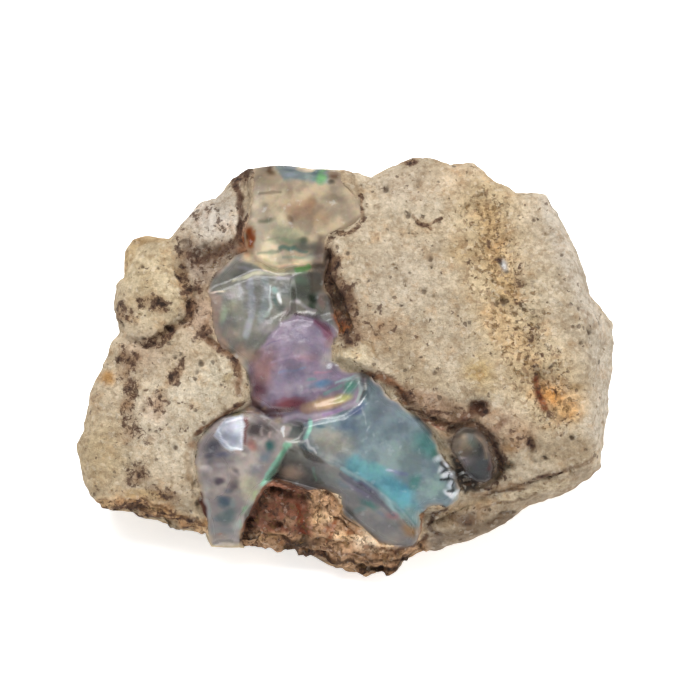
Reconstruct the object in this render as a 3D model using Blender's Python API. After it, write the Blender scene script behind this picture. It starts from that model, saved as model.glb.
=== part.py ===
"""Rough opal in its host rock: a hand specimen about 54 mm wide, lying on its flat broken underside.

The lump is drawn in the frame of its broad face, in millimetres: u runs to the right, v up the face and
w out of it. That face leans back, so its normal rises FACE_RISE above the horizontal, and to_row() turns
face coordinates into the row frame. One closed surface gives the whole lump; prisms along w then part the
opal from the host rock, which keeps a pocket for each piece of opal.
"""

import math

import bpy
import numpy as np

MM = 0.001

# Driving dimensions, in millimetres and radians.
FACE_RISE = math.radians(55.0)  # how far the broad face's normal rises above the horizontal
FACE_CENTRE = (-1.0, 0.0)  # the point of the face that the outline is drawn around
HEIGHT_OF_CENTRE = 12.3  # how high the face frame's origin stands above the ground
ROW_SHIFT = (0.5, 0.6)  # brings the middle of the lump's box over the row's origin
FRONT_CELLS = 48  # cells along each side of the front's grid; the back has half as many
EDGE_CROWDING = 0.3  # how much closer the grid's rings lie near the outline
OPAL_GAP = 0.3  # clear space between the opal and its pocket
# v and w along the seam's hidden underside, which is straight across from side to side
SEAM_FLOOR = ((23.0, 0.2), (15.5, 3.4), (4.0, 4.4), (-7.0, 4.4), (-13.0, 2.8), (-21.5, -0.1))
NODULE_FLOOR = ((23.0, 6.2), (-21.5, 6.2))
BLOCK_BOTTOM = -3.0
BLOCK_TOP = 20.0
BED_BOTTOM = -12.0
BED_REACH = 32.0

# The lump's outline, seen square on to the face: (u, v) of each corner, anticlockwise from the right.
OUTLINE = (
    (26.3, 2.3), (26.1, 4.3), (23.9, 7.0), (22.5, 11.7), (21.0, 14.6), (19.4, 17.1), (16.6, 17.1),
    (14.2, 18.5), (12.3, 20.2), (10.1, 20.0), (8.4, 20.7), (6.3, 20.7), (4.5, 20.0), (2.2, 18.8),
    (0.3, 19.3), (-3.8, 19.6), (-7.2, 20.0), (-10.2, 19.6), (-11.7, 18.7), (-13.4, 16.6), (-15.2, 16.2),
    (-16.8, 14.2), (-18.2, 12.7), (-20.5, 12.9), (-21.7, 12.6), (-22.5, 11.4), (-22.6, 8.8),
    (-23.5, 8.1), (-23.6, 5.8), (-23.1, 3.3), (-24.0, 2.3), (-24.8, -0.2), (-26.4, -4.4), (-26.6, -6.6),
    (-27.3, -7.9), (-27.3, -8.8), (-26.6, -12.0), (-25.8, -13.4), (-24.8, -14.5), (-22.4, -14.8),
    (-19.8, -15.8), (-17.5, -16.6), (-14.5, -17.1), (-13.9, -18.2), (-11.1, -18.3), (-6.4, -18.6),
    (-4.8, -19.0), (-3.5, -19.6), (-2.1, -20.4), (0.6, -21.0), (3.6, -21.4), (6.0, -19.7), (7.8, -18.6),
    (11.3, -17.7), (15.4, -15.9), (17.8, -14.0), (20.7, -13.1), (23.6, -11.5), (25.0, -10.1),
    (25.1, -8.6), (25.6, -5.6), (25.8, -1.8),
)

# Where the outline lies in w: (angle round FACE_CENTRE in degrees, w).
RIM = (
    (0, 5.5), (20, 6.0), (35, 4.2), (50, 4.8), (70, 3.0), (90, 3.6), (110, 2.6), (130, 1.6), (150, 2.6),
    (165, 1.8), (180, 3.4), (195, 3.0), (215, 3.6), (235, 2.6), (255, 1.8), (270, 2.4), (285, 2.8),
    (300, 3.4), (320, 4.4), (335, 5.6), (348, 4.8),
)
RIM_ROUND = 2.0  # how far in from the outline the front is rounded over

# Broken faces that bound the front: a point on each, then its slopes dw/du and dw/dv.
FRONT_FACES = {
    "right face, lower part": ((12.0, 4.0, 9.0), (0.06, -0.06)),
    "right face, upper part": ((12.0, 8.5, 8.9), (0.03, -0.36)),
    "right shoulder": ((24.2, 2.0, 8.3), (-1.1, -0.25)),
    "lower right ledge": ((16.0, -12.5, 9.9), (-0.63, 1.36)),
    "left face": ((-19.0, -6.0, 6.0), (0.22, -0.03)),
    "upper left slope": ((-15.0, 13.0, 5.0), (0.25, -0.35)),
    "lower front": ((0.0, -13.0, 6.8), (0.02, 0.45)),
    "left underside": ((-18.0, -15.3, 5.6), (0.5, 1.9)),
}
FRONT_ROUND = 0.8
# Broken faces that bound the back, given the same way, and the roundness of the edges between them.
BACK_FACES = {
    "rear wall": ((8.4, 20.7, 1.0), (0.12, 1.35)),
    "rear wall, right part": ((20.2, 15.8, 1.8), (0.75, 1.20)),
    "rear wall, left part": ((-19.0, 12.8, 0.2), (-1.05, 1.15)),
    "left wall": ((-27.3, -8.5, 1.4), (-1.9, 0.15)),
    "right wall": ((26.3, 2.3, 3.2), (2.0, 0.20)),
    "lower front wall": ((3.6, -21.4, 1.8), (0.10, -1.9)),
    "lower left wall": ((-25.0, -14.4, 1.6), (-0.9, -1.5)),
    "lower right wall": ((25.0, -10.0, 3.8), (1.0, -1.5)),
}
BACK_ROUND = 1.6
BACK_FALL = 0.6  # the least slope at which the back falls away from the outline
BACK_LUMPS = {
    "rear knob": ((-8.0, 14.5), (4.0, 2.6), 2.2),
    "rear hollow": ((4.5, 15.5), (3.6, 2.8), -2.2),
    "rear lower knob": ((11.5, 9.5), (4.0, 2.4), 2.0),
    "rear lower hollow": ((-1.5, 9.0), (4.0, 2.0), -1.8),
    "left wall hollow": ((-23.6, -3.0), (1.8, 3.4), -1.6),
    "right wall hollow": ((22.8, -3.0), (1.8, 4.0), -1.6),
    "right wall knob": ((21.4, 7.4), (2.2, 2.6), 1.4),
}

# The seam's outline on the face; it runs past the lump's own outline at the top edge and at the tooth.
SEAM = (
    (-9.8, 21.5), (-9.9, 18.0), (-10.1, 15.0), (-10.7, 13.3), (-10.3, 11.5), (-11.8, 10.9), (-12.8, 10.0),
    (-13.8, 8.7), (-14.3, 7.3), (-13.8, 5.5), (-13.6, 3.5), (-12.8, 2.0), (-11.4, 0.7), (-10.4, -0.7),
    (-10.0, -2.5), (-10.1, -3.7), (-11.2, -4.3), (-12.8, -5.0), (-14.2, -6.0), (-15.4, -7.6), (-15.6, -9.5),
    (-15.3, -11.5), (-15.0, -13.5), (-14.4, -15.5), (-14.2, -17.5), (-14.0, -20.0), (-11.0, -20.0),
    (-10.9, -17.3), (-10.5, -14.9), (-9.9, -13.8), (-8.9, -12.4), (-7.7, -11.3), (-6.0, -11.9),
    (-4.5, -12.3), (-2.5, -12.6), (-0.9, -13.2), (-0.7, -14.8), (0.5, -15.9), (1.7, -16.9), (3.0, -17.7),
    (4.7, -18.3), (6.4, -17.8), (6.8, -16.5), (7.1, -14.7), (7.6, -14.3), (9.6, -14.1), (10.9, -13.1),
    (11.3, -12.2), (10.5, -10.8), (9.4, -9.4), (8.9, -8.0), (8.0, -6.5), (7.0, -5.3), (5.5, -4.2),
    (4.2, -3.5), (3.4, -2.1), (1.2, -0.7), (-0.4, -0.2), (-1.5, 0.7), (-1.4, 2.0), (-0.8, 3.0),
    (-1.3, 4.5), (-1.9, 6.0), (-2.4, 7.5), (-2.5, 9.7), (-2.3, 11.5), (-1.9, 12.7), (-0.5, 13.4),
    (1.1, 14.8), (1.0, 16.5), (0.2, 17.5), (-0.5, 18.7), (-0.9, 21.5),
)
NODULE = (
    (10.2, -8.6), (10.4, -7.1), (11.3, -6.3), (12.4, -6.3), (13.4, -7.2), (14.0, -8.5), (14.4, -10.0),
    (14.3, -11.3), (13.4, -11.9), (12.5, -11.8), (11.4, -10.9),
)

# Facets of the opal, laid over each other in this order. Each has its outline, a point on it, its slopes
# dw/du and dw/dv, and how far it bulges: the drop in w at BULGE_REACH from its point.
BULGE_REACH = 10.0
OPAL_FACETS = {
    "seam bed": (SEAM, (-4.0, 0.0, 6.2), (0.03, -0.02), 0.0),
    "potch": (
        ((-9.9, 22.0), (-10.3, 12.4), (-9.6, 10.6), (-7.2, 9.4), (-2.6, 9.9), (-1.9, 12.7), (1.1, 14.8),
         (1.0, 16.5), (-0.9, 22.0)),
        (-5.0, 14.0, 6.7), (0.06, -0.20), 1.0,
    ),
    "clear window": (
        ((-14.3, 7.3), (-12.5, 7.9), (-9.4, 9.2), (-5.5, 8.9), (-5.7, 5.2), (-8.0, 3.3), (-11.2, 0.8),
         (-13.6, 2.5)),
        (-9.5, 5.5, 6.9), (0.05, -0.10), 1.5,
    ),
    "dark notch": (
        ((-5.6, 9.2), (-2.5, 9.8), (-1.6, 5.0), (-3.0, 4.6), (-5.5, 5.1)),
        (-4.0, 7.0, 5.8), (-0.10, 0.15), 0.0,
    ),
    "wedge": (
        ((-7.0, -7.6), (-4.1, -8.9), (-1.1, -10.1), (1.8, -11.9), (4.4, -13.9), (6.6, -16.6), (6.4, -18.3),
         (3.0, -18.3), (-0.7, -14.8), (-2.5, -12.9), (-8.2, -11.4)),
        (-1.0, -11.4, 6.6), (0.42, 0.55), 1.0,
    ),
    "blue panel": (
        ((-4.8, -7.9), (-4.5, -5.8), (1.6, -3.4), (1.8, -1.0), (3.4, -1.8), (9.0, -7.8), (11.4, -12.2),
         (9.6, -14.4), (7.1, -14.5), (6.7, -16.6), (4.4, -13.9), (1.8, -11.9), (-1.1, -10.1), (-4.1, -8.9)),
        (3.0, -8.5, 7.6), (0.04, 0.02), -1.0,
    ),
    "tooth": (
        ((-15.6, -9.5), (-15.4, -7.4), (-12.8, -5.0), (-9.8, -5.0), (-6.2, -7.6), (-7.0, -9.7),
         (-8.9, -12.4), (-10.5, -14.9), (-10.9, -20.0), (-14.1, -20.0), (-15.0, -13.5)),
        (-12.0, -9.0, 6.9), (0.05, 0.10), 3.0,
    ),
    "lens rim": (
        ((-9.2, -4.6), (-7.6, -5.4), (-4.7, -5.9), (-0.6, -5.1), (1.1, -3.9), (1.7, -2.5), (1.1, -0.8),
         (-2.0, 0.0), (-8.0, -2.0)),
        (-2.5, -3.0, 8.0), (0.02, 0.20), 4.0,
    ),
    "purple lens": (
        ((-9.9, -3.4), (-10.0, -0.6), (-9.0, 1.8), (-7.0, 4.4), (-5.2, 5.0), (-3.4, 4.8), (-1.2, 2.9),
         (-1.4, 0.6), (-0.2, -0.3), (1.0, -1.0), (-0.8, -3.3), (-4.6, -4.4), (-8.2, -4.4)),
        (-4.8, 0.4, 8.3), (0.0, 0.02), 3.6,
    ),
    "nodule": (NODULE, (12.3, -9.1, 8.9), (0.0, 0.05), 5.0),
}
FACET_EDGE = 1.3  # width of the step from one facet to the next, fit for this grid

# Open joints in the host rock, each a line of points with its width and depth.
CRACKS = {
    "left of the potch": (((-10.1, 20.0), (-10.3, 16.0), (-11.0, 13.4), (-10.6, 11.6)), 0.6, 0.7),
    "right of the potch": (((1.0, 16.6), (1.1, 14.8), (-0.5, 13.3), (-1.9, 12.6), (-2.3, 10.6)), 0.5, 0.5),
    "right of the clear window": (((-2.3, 10.6), (-2.2, 7.5), (-1.5, 5.2), (-0.8, 3.2)), 0.9, 1.4),
    "round the left lobe": (
        ((-16.6, 12.0), (-16.9, 9.0), (-15.6, 6.8), (-16.0, 4.8), (-18.0, 3.6), (-20.2, 1.6), (-23.6, 2.9)),
        0.7, 0.7,
    ),
    "left of the lens": (
        ((-14.0, 2.5), (-12.0, 1.0), (-10.7, -0.7), (-10.2, -3.0), (-10.3, -4.4)),
        0.5, 0.5,
    ),
    "above the tooth": (((-10.3, -4.4), (-12.8, -5.2), (-15.4, -7.4)), 0.4, 0.4),
    "above the blue panel": (((-0.3, -0.1), (2.0, -0.9), (4.4, -3.0), (7.4, -5.0), (9.8, -6.4)), 0.7, 0.8),
    "round the nodule": (((10.0, -6.6), (12.2, -5.7), (14.4, -7.9), (15.0, -10.6), (14.2, -12.4)), 0.6, 0.8),
    "left of the tooth": (((-15.3, -13.0), (-14.9, -14.8), (-14.3, -16.2)), 0.5, 0.9),
    "right of the tooth": (((-10.6, -14.0), (-10.6, -15.8), (-10.3, -17.2)), 0.8, 1.6),
    "bedding of the ledge": (((8.2, -15.6), (12.6, -13.6), (17.0, -11.9), (21.0, -10.6)), 0.5, 0.5),
}

# Lumps (positive) and hollows (negative) of the host rock: centre, radii, height.
LUMPS = {
    "upper left lobe": ((-19.6, 8.4), (3.4, 3.6), 1.1),
    "lower left shoulder": ((-20.0, -8.5), (6.0, 4.5), 0.8),
    "tongue over the lens": ((0.6, 0.9), (2.0, 1.3), 0.7),
    "dip of the mottled corner": ((-14.5, 11.0), (2.6, 3.4), -0.8),
    "top right knoll": ((9.0, 17.0), (5.0, 3.0), 0.6),
    "saddle beside the knoll": ((2.6, 17.6), (2.0, 1.6), -0.6),
    "iron clay hollow": ((-8.6, -14.6), (2.4, 2.2), -1.1),
    "iron clay shelf": ((-1.5, -17.5), (4.5, 1.4), 0.7),
    "ochre hollow": ((19.3, -2.8), (1.8, 1.6), -0.5),
    "pit above the nodule": ((12.6, -4.3), (0.9, 0.8), -0.9),
    "comma pit": ((18.0, -7.9), (0.9, 1.2), -0.8),
    "crumbled grain field": ((15.5, 7.0), (4.5, 7.0), -0.5),
    "ledge nose": ((10.5, -16.4), (3.0, 1.0), 0.6),
}

# Weathered roughness of the whole surface: (wavelength, height, seed).
ROUGHNESS = ((17.0, 0.70, 10), (9.0, 0.55, 11), (4.5, 0.35, 12), (2.4, 0.20, 13))
OPAL_SMOOTHNESS = 0.25  # share of that roughness that the opal's breaks keep
LATTICE = 64  # random values along each side of the noise's lattice


def smooth_min(a, b, width):
    """The lesser of two heights, with the edge between them rounded over width."""
    near = np.clip(width - np.abs(a - b), 0.0, None) / width
    return np.minimum(a, b) - near * near * width / 4.0


def ease(t):
    """0 to 1 with flat ends."""
    t = np.clip(t, 0.0, 1.0)
    return t * t * (3.0 - 2.0 * t)


def sloped_plane(u, v, point, slope):
    return point[2] + slope[0] * (u - point[0]) + slope[1] * (v - point[1])


def nearest_on_line(u, v, points):
    """Distance from each (u, v) to a line of points."""
    p = np.array(points, float)
    start, along = p[:-1], np.diff(p, axis=0)
    du, dv = u[..., None] - start[:, 0], v[..., None] - start[:, 1]
    share = np.clip((du * along[:, 0] + dv * along[:, 1]) / (along**2).sum(1), 0.0, 1.0)
    return np.hypot(du - share * along[:, 0], dv - share * along[:, 1]).min(-1)


def outline_distance(u, v, corners):
    """Signed distance to a closed outline, negative inside: the sign comes from counting crossings."""
    p = np.array(corners, float)
    q = np.roll(p, -1, axis=0)
    above = (p[:, 1] > v[..., None]) != (q[:, 1] > v[..., None])
    rise = np.where(q[:, 1] == p[:, 1], 1.0, q[:, 1] - p[:, 1])
    crossing = p[:, 0] + (v[..., None] - p[:, 1]) * (q[:, 0] - p[:, 0]) / rise
    inside = (above & (u[..., None] < crossing)).sum(-1) % 2 == 1
    distance = nearest_on_line(u, v, [*corners, corners[0]])
    return np.where(inside, -distance, distance)


def lattice_noise(points, wavelength, seed):
    """Smooth noise from -1 to 1: random values on a cubic lattice, eased between its corners."""
    values = np.random.RandomState(seed).uniform(-1.0, 1.0, (LATTICE,) * 3)
    cell = np.floor(points / wavelength).astype(int)
    part = ease(points / wavelength - cell)
    total = np.zeros(points.shape[:-1])
    for corner in np.ndindex(2, 2, 2):
        i, j, k = np.moveaxis((cell + corner) % LATTICE, -1, 0)
        total += values[i, j, k] * np.prod(np.where(corner, part, 1.0 - part), axis=-1)
    return total


def rim_at(angle):
    """Radius and w of the lump's outline at an angle round FACE_CENTRE."""
    corners = np.array(OUTLINE) - FACE_CENTRE
    turn = 2.0 * math.pi
    radius = np.interp(
        angle, np.arctan2(corners[:, 1], corners[:, 0]) % turn, np.hypot(*corners.T), period=turn
    )
    degrees, heights = np.array(RIM, float).T
    return radius, np.interp(angle, np.radians(degrees), heights, period=turn)


def host_height(u, v):
    """w of the host rock's front: its broken faces, then its lumps, then its open joints."""
    height = np.full(u.shape, BLOCK_TOP)
    for point, slope in FRONT_FACES.values():
        height = smooth_min(height, sloped_plane(u, v, point, slope), FRONT_ROUND)
    for centre, radii, rise in LUMPS.values():
        height += rise * np.exp(-(((u - centre[0]) / radii[0]) ** 2) - ((v - centre[1]) / radii[1]) ** 2)
    for line, width, depth in CRACKS.values():
        height -= depth * np.exp(-((nearest_on_line(u, v, line) / width) ** 2))
    return height


def front_height(u, v):
    """w of the front, opal included, and the share of opal at each place."""
    height, opal = host_height(u, v), np.zeros(u.shape)
    for outline, point, slope, bulge in OPAL_FACETS.values():
        facet = sloped_plane(u, v, point, slope)
        facet -= bulge * ((u - point[0]) ** 2 + (v - point[1]) ** 2) / BULGE_REACH**2
        share = ease(0.5 - outline_distance(u, v, outline) / FACET_EDGE)
        height += (facet - height) * share
        opal = np.maximum(opal, share)
    return height, opal


def ground(v):
    """w of the ground plane."""
    return -(HEIGHT_OF_CENTRE + v * math.cos(FACE_RISE)) / math.sin(FACE_RISE)


def back_height(u, v):
    """w of the back: its broken faces, then its lumps, cut off flat where they would go below the ground."""
    depth = -ground(v) + 2.0
    for point, slope in BACK_FACES.values():
        depth = smooth_min(depth, -sloped_plane(u, v, point, slope), BACK_ROUND)
    for centre, radii, rise in BACK_LUMPS.values():
        depth += rise * np.exp(-(((u - centre[0]) / radii[0]) ** 2) - ((v - centre[1]) / radii[1]) ** 2)
    return np.maximum(-depth, ground(v))


def disc_grid(cells):
    """A square grid spread evenly over the unit disc, ring by ring: radius and angle of each node."""
    a, b = np.meshgrid(np.linspace(-1.0, 1.0, cells + 1), np.linspace(-1.0, 1.0, cells + 1), indexing="ij")
    wide = np.abs(a) >= np.abs(b)
    safe_a, safe_b = np.where(a == 0, 1.0, a), np.where(b == 0, 1.0, b)
    angle = np.where(wide, b / safe_a, 2.0 - a / safe_b) * math.pi / 4.0
    return np.where(wide, a, b), np.where((a == 0) & (b == 0), 0.0, angle)


def face_patch(cells, front):
    """Points (u, v, w) over one side of the lump, rounded over at its outline, and how rough each is."""
    signed, angle = disc_grid(cells)
    turned = np.where(signed < 0, angle + math.pi, angle) % (2.0 * math.pi)
    radius, rim = rim_at(turned)
    share = np.abs(signed) * (1.0 + EDGE_CROWDING * (1.0 - np.abs(signed)))
    u = FACE_CENTRE[0] + share * radius * np.cos(turned)
    v = FACE_CENTRE[1] + share * radius * np.sin(turned)
    inward = radius * (1.0 - share)
    if front:
        height, opal = front_height(u, v)
        rounding = 1.0 - np.clip(inward / RIM_ROUND, 0.0, 1.0)
        height = rim + (height - rim) * np.sqrt(1.0 - rounding**2)
    else:
        height, opal = np.minimum(back_height(u, v), rim - BACK_FALL * inward), np.zeros(u.shape)
    rough = (1.0 - (1.0 - OPAL_SMOOTHNESS) * opal) * ease(inward / RIM_ROUND)
    rough[height < ground(v) + 1e-6] = 0.0
    return np.stack([u, v, height], -1), rough


def ring_of(index):
    """The border of a square array of vertex numbers, once round."""
    return np.concatenate([index[:-1, 0], index[-1, :-1], index[:0:-1, -1], index[0, :0:-1]])


def cells_of(index):
    """The four corners of each cell of an array of vertex numbers."""
    return np.stack([index[:-1, :-1], index[1:, :-1], index[1:, 1:], index[:-1, 1:]], -1).reshape(-1, 4)


def lump_surface():
    """Points in the face frame, how rough each is, quads and triangles of the whole closed lump."""
    front, front_rough = face_patch(FRONT_CELLS, True)
    back, back_rough = face_patch(FRONT_CELLS // 2, False)
    front_index = np.arange(front[..., 0].size).reshape(front.shape[:2])
    back_index = np.arange(back[..., 0].size).reshape(back.shape[:2]) + front_index.size
    points = np.concatenate([front.reshape(-1, 3), back.reshape(-1, 3)])
    rough = np.concatenate([front_rough.ravel(), back_rough.ravel()])
    outer, inner = ring_of(front_index), ring_of(back_index)
    merged = np.arange(len(points))
    merged[inner] = outer[::2]  # the back's border lies on every second point of the front's
    quads = np.concatenate([cells_of(front_index), merged[cells_of(back_index)][:, ::-1]])
    start, middle, end = outer[::2], outer[1::2], np.roll(outer, -1)[1::2]
    return points, rough, quads, np.stack([start, end, middle], -1)


def surface_normals(points, quads, triangles):
    """Unit normals at the points, from the faces that meet there."""
    corners = np.concatenate([quads[:, [0, 1, 2]], quads[:, [0, 2, 3]], triangles])
    a, b, c = points[corners[:, 0]], points[corners[:, 1]], points[corners[:, 2]]
    face_normals = np.cross(b - a, c - a)
    normals = np.stack(
        [np.bincount(corners.ravel(), np.repeat(face_normals[:, k], 3), len(points)) for k in range(3)], -1
    )
    return normals / np.maximum(np.linalg.norm(normals, axis=1, keepdims=True), 1e-12)


def roughened(points, rough, quads, triangles):
    """The surface pushed in and out along its normals."""
    noise = sum(size * lattice_noise(points, wavelength, seed) for wavelength, size, seed in ROUGHNESS)
    return points + surface_normals(points, quads, triangles) * (noise * rough)[:, None]


def to_row(points):
    """Face frame in millimetres to the row frame in metres."""
    u, v, w = np.moveaxis(np.asarray(points, float), -1, 0)
    rise, run = math.sin(FACE_RISE), math.cos(FACE_RISE)
    x = u + ROW_SHIFT[0]
    y = v * rise - w * run + ROW_SHIFT[1]
    z = v * run + w * rise + HEIGHT_OF_CENTRE
    return np.stack([x, y, z], -1) * MM


def anticlockwise(corners):
    p = np.array(corners, float)
    q = np.roll(p, -1, axis=0)
    return p if (p[:, 0] * q[:, 1] - q[:, 0] * p[:, 1]).sum() > 0 else p[::-1]


def grown(corners, distance):
    """An anticlockwise outline moved outwards by distance, less at its sharpest corners."""
    before, after = corners - np.roll(corners, 1, axis=0), np.roll(corners, -1, axis=0) - corners
    sides = [edge / np.linalg.norm(edge, axis=1, keepdims=True) for edge in (before, after)]
    out = [np.stack([side[:, 1], -side[:, 0]], -1) for side in sides]
    middle = out[0] + out[1]
    squareness = np.maximum((middle * out[0]).sum(1, keepdims=True), 0.6)
    return corners + middle * distance / squareness


def mesh_object(name, vertices, faces, material=None):
    mesh = bpy.data.meshes.new(name)
    mesh.from_pydata([tuple(p) for p in vertices.tolist()], [], faces)
    mesh.validate()
    made = bpy.data.objects.new(name, mesh)
    bpy.context.scene.collection.objects.link(made)
    if material:
        mesh.materials.append(material)
    return made


def cutter_between(name, low, high):
    """A hidden closed cutter between two like rings of points, each anticlockwise seen from the high one."""
    count = len(low)
    sides = [(i, (i + 1) % count, count + (i + 1) % count, count + i) for i in range(count)]
    faces = [tuple(range(count))[::-1], tuple(range(count, 2 * count)), *sides]
    cutter = mesh_object(name, to_row(np.concatenate([low, high])), faces)
    cutter.hide_render = True
    cutter.display_type = "WIRE"
    return cutter


def block(name, corners, floor, growth):
    """A cutter with an outline on the face, from its floor up past the front along w, grown by growth.

    The floor is a profile of v and w, the same all the way across, cut off the block from below.
    """
    ring = grown(anticlockwise(corners), growth)
    low = np.column_stack([ring, np.full(len(ring), BLOCK_BOTTOM)])
    high = np.column_stack([ring, np.full(len(ring), BLOCK_TOP)])
    cutter = cutter_between(name, low, high)
    profile = np.array(floor) - (0.0, growth)
    bottom_corners = [(profile[-1, 0], BED_BOTTOM), (profile[0, 0], BED_BOTTOM)]
    section = np.concatenate([profile, bottom_corners])
    left = np.column_stack([np.full(len(section), -BED_REACH), section])
    right = np.column_stack([np.full(len(section), BED_REACH), section])
    boolean(cutter, cutter_between(name + "_bed", left, right), "DIFFERENCE")
    return cutter


def boolean(target, cutter, operation):
    modifier = target.modifiers.new(cutter.name, "BOOLEAN")
    modifier.operation = operation
    modifier.solver = "EXACT"
    modifier.object = cutter


def stone_material(name, colour, roughness, transmission=0.0):
    material = bpy.data.materials.new(name)
    material.use_nodes = True
    shader = material.node_tree.nodes["Principled BSDF"]
    shader.inputs["Base Color"].default_value = (*colour, 1.0)
    shader.inputs["Roughness"].default_value = roughness
    shader.inputs["Metallic"].default_value = 0.0
    shader.inputs["IOR"].default_value = 1.45
    shader.inputs["Transmission Weight"].default_value = transmission
    return material


def clear_scene():
    for existing in list(bpy.data.objects):
        bpy.data.objects.remove(existing)


def build():
    clear_scene()
    host_material = stone_material("weathered_host_rock", (0.58, 0.46, 0.33), 0.9)
    opal_material = stone_material("milky_opal", (0.38, 0.45, 0.47), 0.15, 0.4)
    nodule_material = stone_material("dark_opal", (0.16, 0.17, 0.17), 0.2, 0.3)

    points, rough, quads, triangles = lump_surface()
    vertices = to_row(roughened(points, rough, quads, triangles))
    vertices[:, 2] = np.maximum(vertices[:, 2], 0.0)
    faces = [*map(tuple, quads.tolist()), *map(tuple, triangles.tolist())]

    host = mesh_object("host_rock", vertices, faces, host_material)
    for name, outline, floor, material in (
        ("opal_seam", SEAM, SEAM_FLOOR, opal_material),
        ("opal_nodule", NODULE, NODULE_FLOOR, nodule_material),
    ):
        piece = mesh_object(name, vertices, faces, material)
        boolean(piece, block(name + "_block", outline, floor, 0.0), "INTERSECT")
        boolean(host, block(name + "_pocket", outline, floor, OPAL_GAP), "DIFFERENCE")


build()
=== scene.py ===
import functools
import math

import bpy
import mathutils
import numpy as np
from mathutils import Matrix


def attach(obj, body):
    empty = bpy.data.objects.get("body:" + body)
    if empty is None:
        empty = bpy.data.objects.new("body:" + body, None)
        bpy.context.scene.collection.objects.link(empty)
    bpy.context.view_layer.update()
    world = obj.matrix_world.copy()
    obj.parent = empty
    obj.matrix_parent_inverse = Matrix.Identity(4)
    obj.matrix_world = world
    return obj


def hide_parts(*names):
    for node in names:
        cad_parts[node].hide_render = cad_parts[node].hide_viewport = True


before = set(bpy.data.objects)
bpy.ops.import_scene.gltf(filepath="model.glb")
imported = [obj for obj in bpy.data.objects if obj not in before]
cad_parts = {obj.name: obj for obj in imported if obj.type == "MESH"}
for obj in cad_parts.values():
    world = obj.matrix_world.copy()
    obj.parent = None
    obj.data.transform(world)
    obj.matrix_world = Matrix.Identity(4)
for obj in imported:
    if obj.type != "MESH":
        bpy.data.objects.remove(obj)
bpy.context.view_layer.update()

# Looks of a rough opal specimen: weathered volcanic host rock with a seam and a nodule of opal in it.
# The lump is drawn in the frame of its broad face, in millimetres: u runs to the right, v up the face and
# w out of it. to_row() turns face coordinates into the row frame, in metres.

MM = 0.001

# ---------------------------------------------------------------- sizes shared with the solids

FACE_RISE = math.radians(55.0)  # how far the broad face's normal rises above the horizontal
FACE_CENTRE = (-1.0, 0.0)  # the point of the face that the outline is drawn around
HEIGHT_OF_CENTRE = 12.3  # how high the face frame's origin stands above the ground
ROW_SHIFT = (0.5, 0.6)  # puts the middle of the lump's box over the row frame's origin
EDGE_CROWDING = 0.3  # how much closer the grid's rings lie at the outline than on average
RIM_ROUND = 2.0  # how far in from the outline the lump is rounded off
HIGHEST = 20.0  # a height above every face
BULGE_REACH = 10.0  # how far from its point a facet's bulge is measured
LATTICE = 64  # random values along each side of the lattice that noise is read from

# Outline of the lump: u and v of its corners, once round.
OUTLINE = (
    (26.3, 2.3), (26.1, 4.3), (23.9, 7.0), (22.5, 11.7), (21.0, 14.6), (19.4, 17.1), (16.6, 17.1),
    (14.2, 18.5), (12.3, 20.2), (10.1, 20.0), (8.4, 20.7), (6.3, 20.7), (4.5, 20.0), (2.2, 18.8),
    (0.3, 19.3), (-3.8, 19.6), (-7.2, 20.0), (-10.2, 19.6), (-11.7, 18.7), (-13.4, 16.6), (-15.2, 16.2),
    (-16.8, 14.2), (-18.2, 12.7), (-20.5, 12.9), (-21.7, 12.6), (-22.5, 11.4), (-22.6, 8.8),
    (-23.5, 8.1), (-23.6, 5.8), (-23.1, 3.3), (-24.0, 2.3), (-24.8, -0.2), (-26.4, -4.4), (-26.6, -6.6),
    (-27.3, -7.9), (-27.3, -8.8), (-26.6, -12.0), (-25.8, -13.4), (-24.8, -14.5), (-22.4, -14.8),
    (-19.8, -15.8), (-17.5, -16.6), (-14.5, -17.1), (-13.9, -18.2), (-11.1, -18.3), (-6.4, -18.6),
    (-4.8, -19.0), (-3.5, -19.6), (-2.1, -20.4), (0.6, -21.0), (3.6, -21.4), (6.0, -19.7), (7.8, -18.6),
    (11.3, -17.7), (15.4, -15.9), (17.8, -14.0), (20.7, -13.1), (23.6, -11.5), (25.0, -10.1),
    (25.1, -8.6), (25.6, -5.6), (25.8, -1.8),
)
# How the outline rises and falls: an angle round FACE_CENTRE in degrees, and w there.
RIM = (
    (0, 5.5), (20, 6.0), (35, 4.2), (50, 4.8), (70, 3.0), (90, 3.6), (110, 2.6), (130, 1.6), (150, 2.6),
    (165, 1.8), (180, 3.4), (195, 3.0), (215, 3.6), (235, 2.6), (255, 1.8), (270, 2.4), (285, 2.8),
    (300, 3.4), (320, 4.4), (335, 5.6), (348, 4.8),
)

# Broken faces that bound the front: a point on each, then its slopes dw/du and dw/dv.
FRONT_FACES = {
    "right face, lower part": ((12.0, 4.0, 9.0), (0.06, -0.06)),
    "right face, upper part": ((12.0, 8.5, 8.9), (0.03, -0.36)),
    "right shoulder": ((24.2, 2.0, 8.3), (-1.1, -0.25)),
    "lower right ledge": ((16.0, -12.5, 9.9), (-0.63, 1.36)),
    "left face": ((-19.0, -6.0, 6.0), (0.22, -0.03)),
    "upper left slope": ((-15.0, 13.0, 5.0), (0.25, -0.35)),
    "lower front": ((0.0, -13.0, 6.8), (0.02, 0.45)),
    "left underside": ((-18.0, -15.3, 5.6), (0.5, 1.9)),
}
FRONT_ROUND = 0.6  # how far the edges between them are rounded
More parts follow.
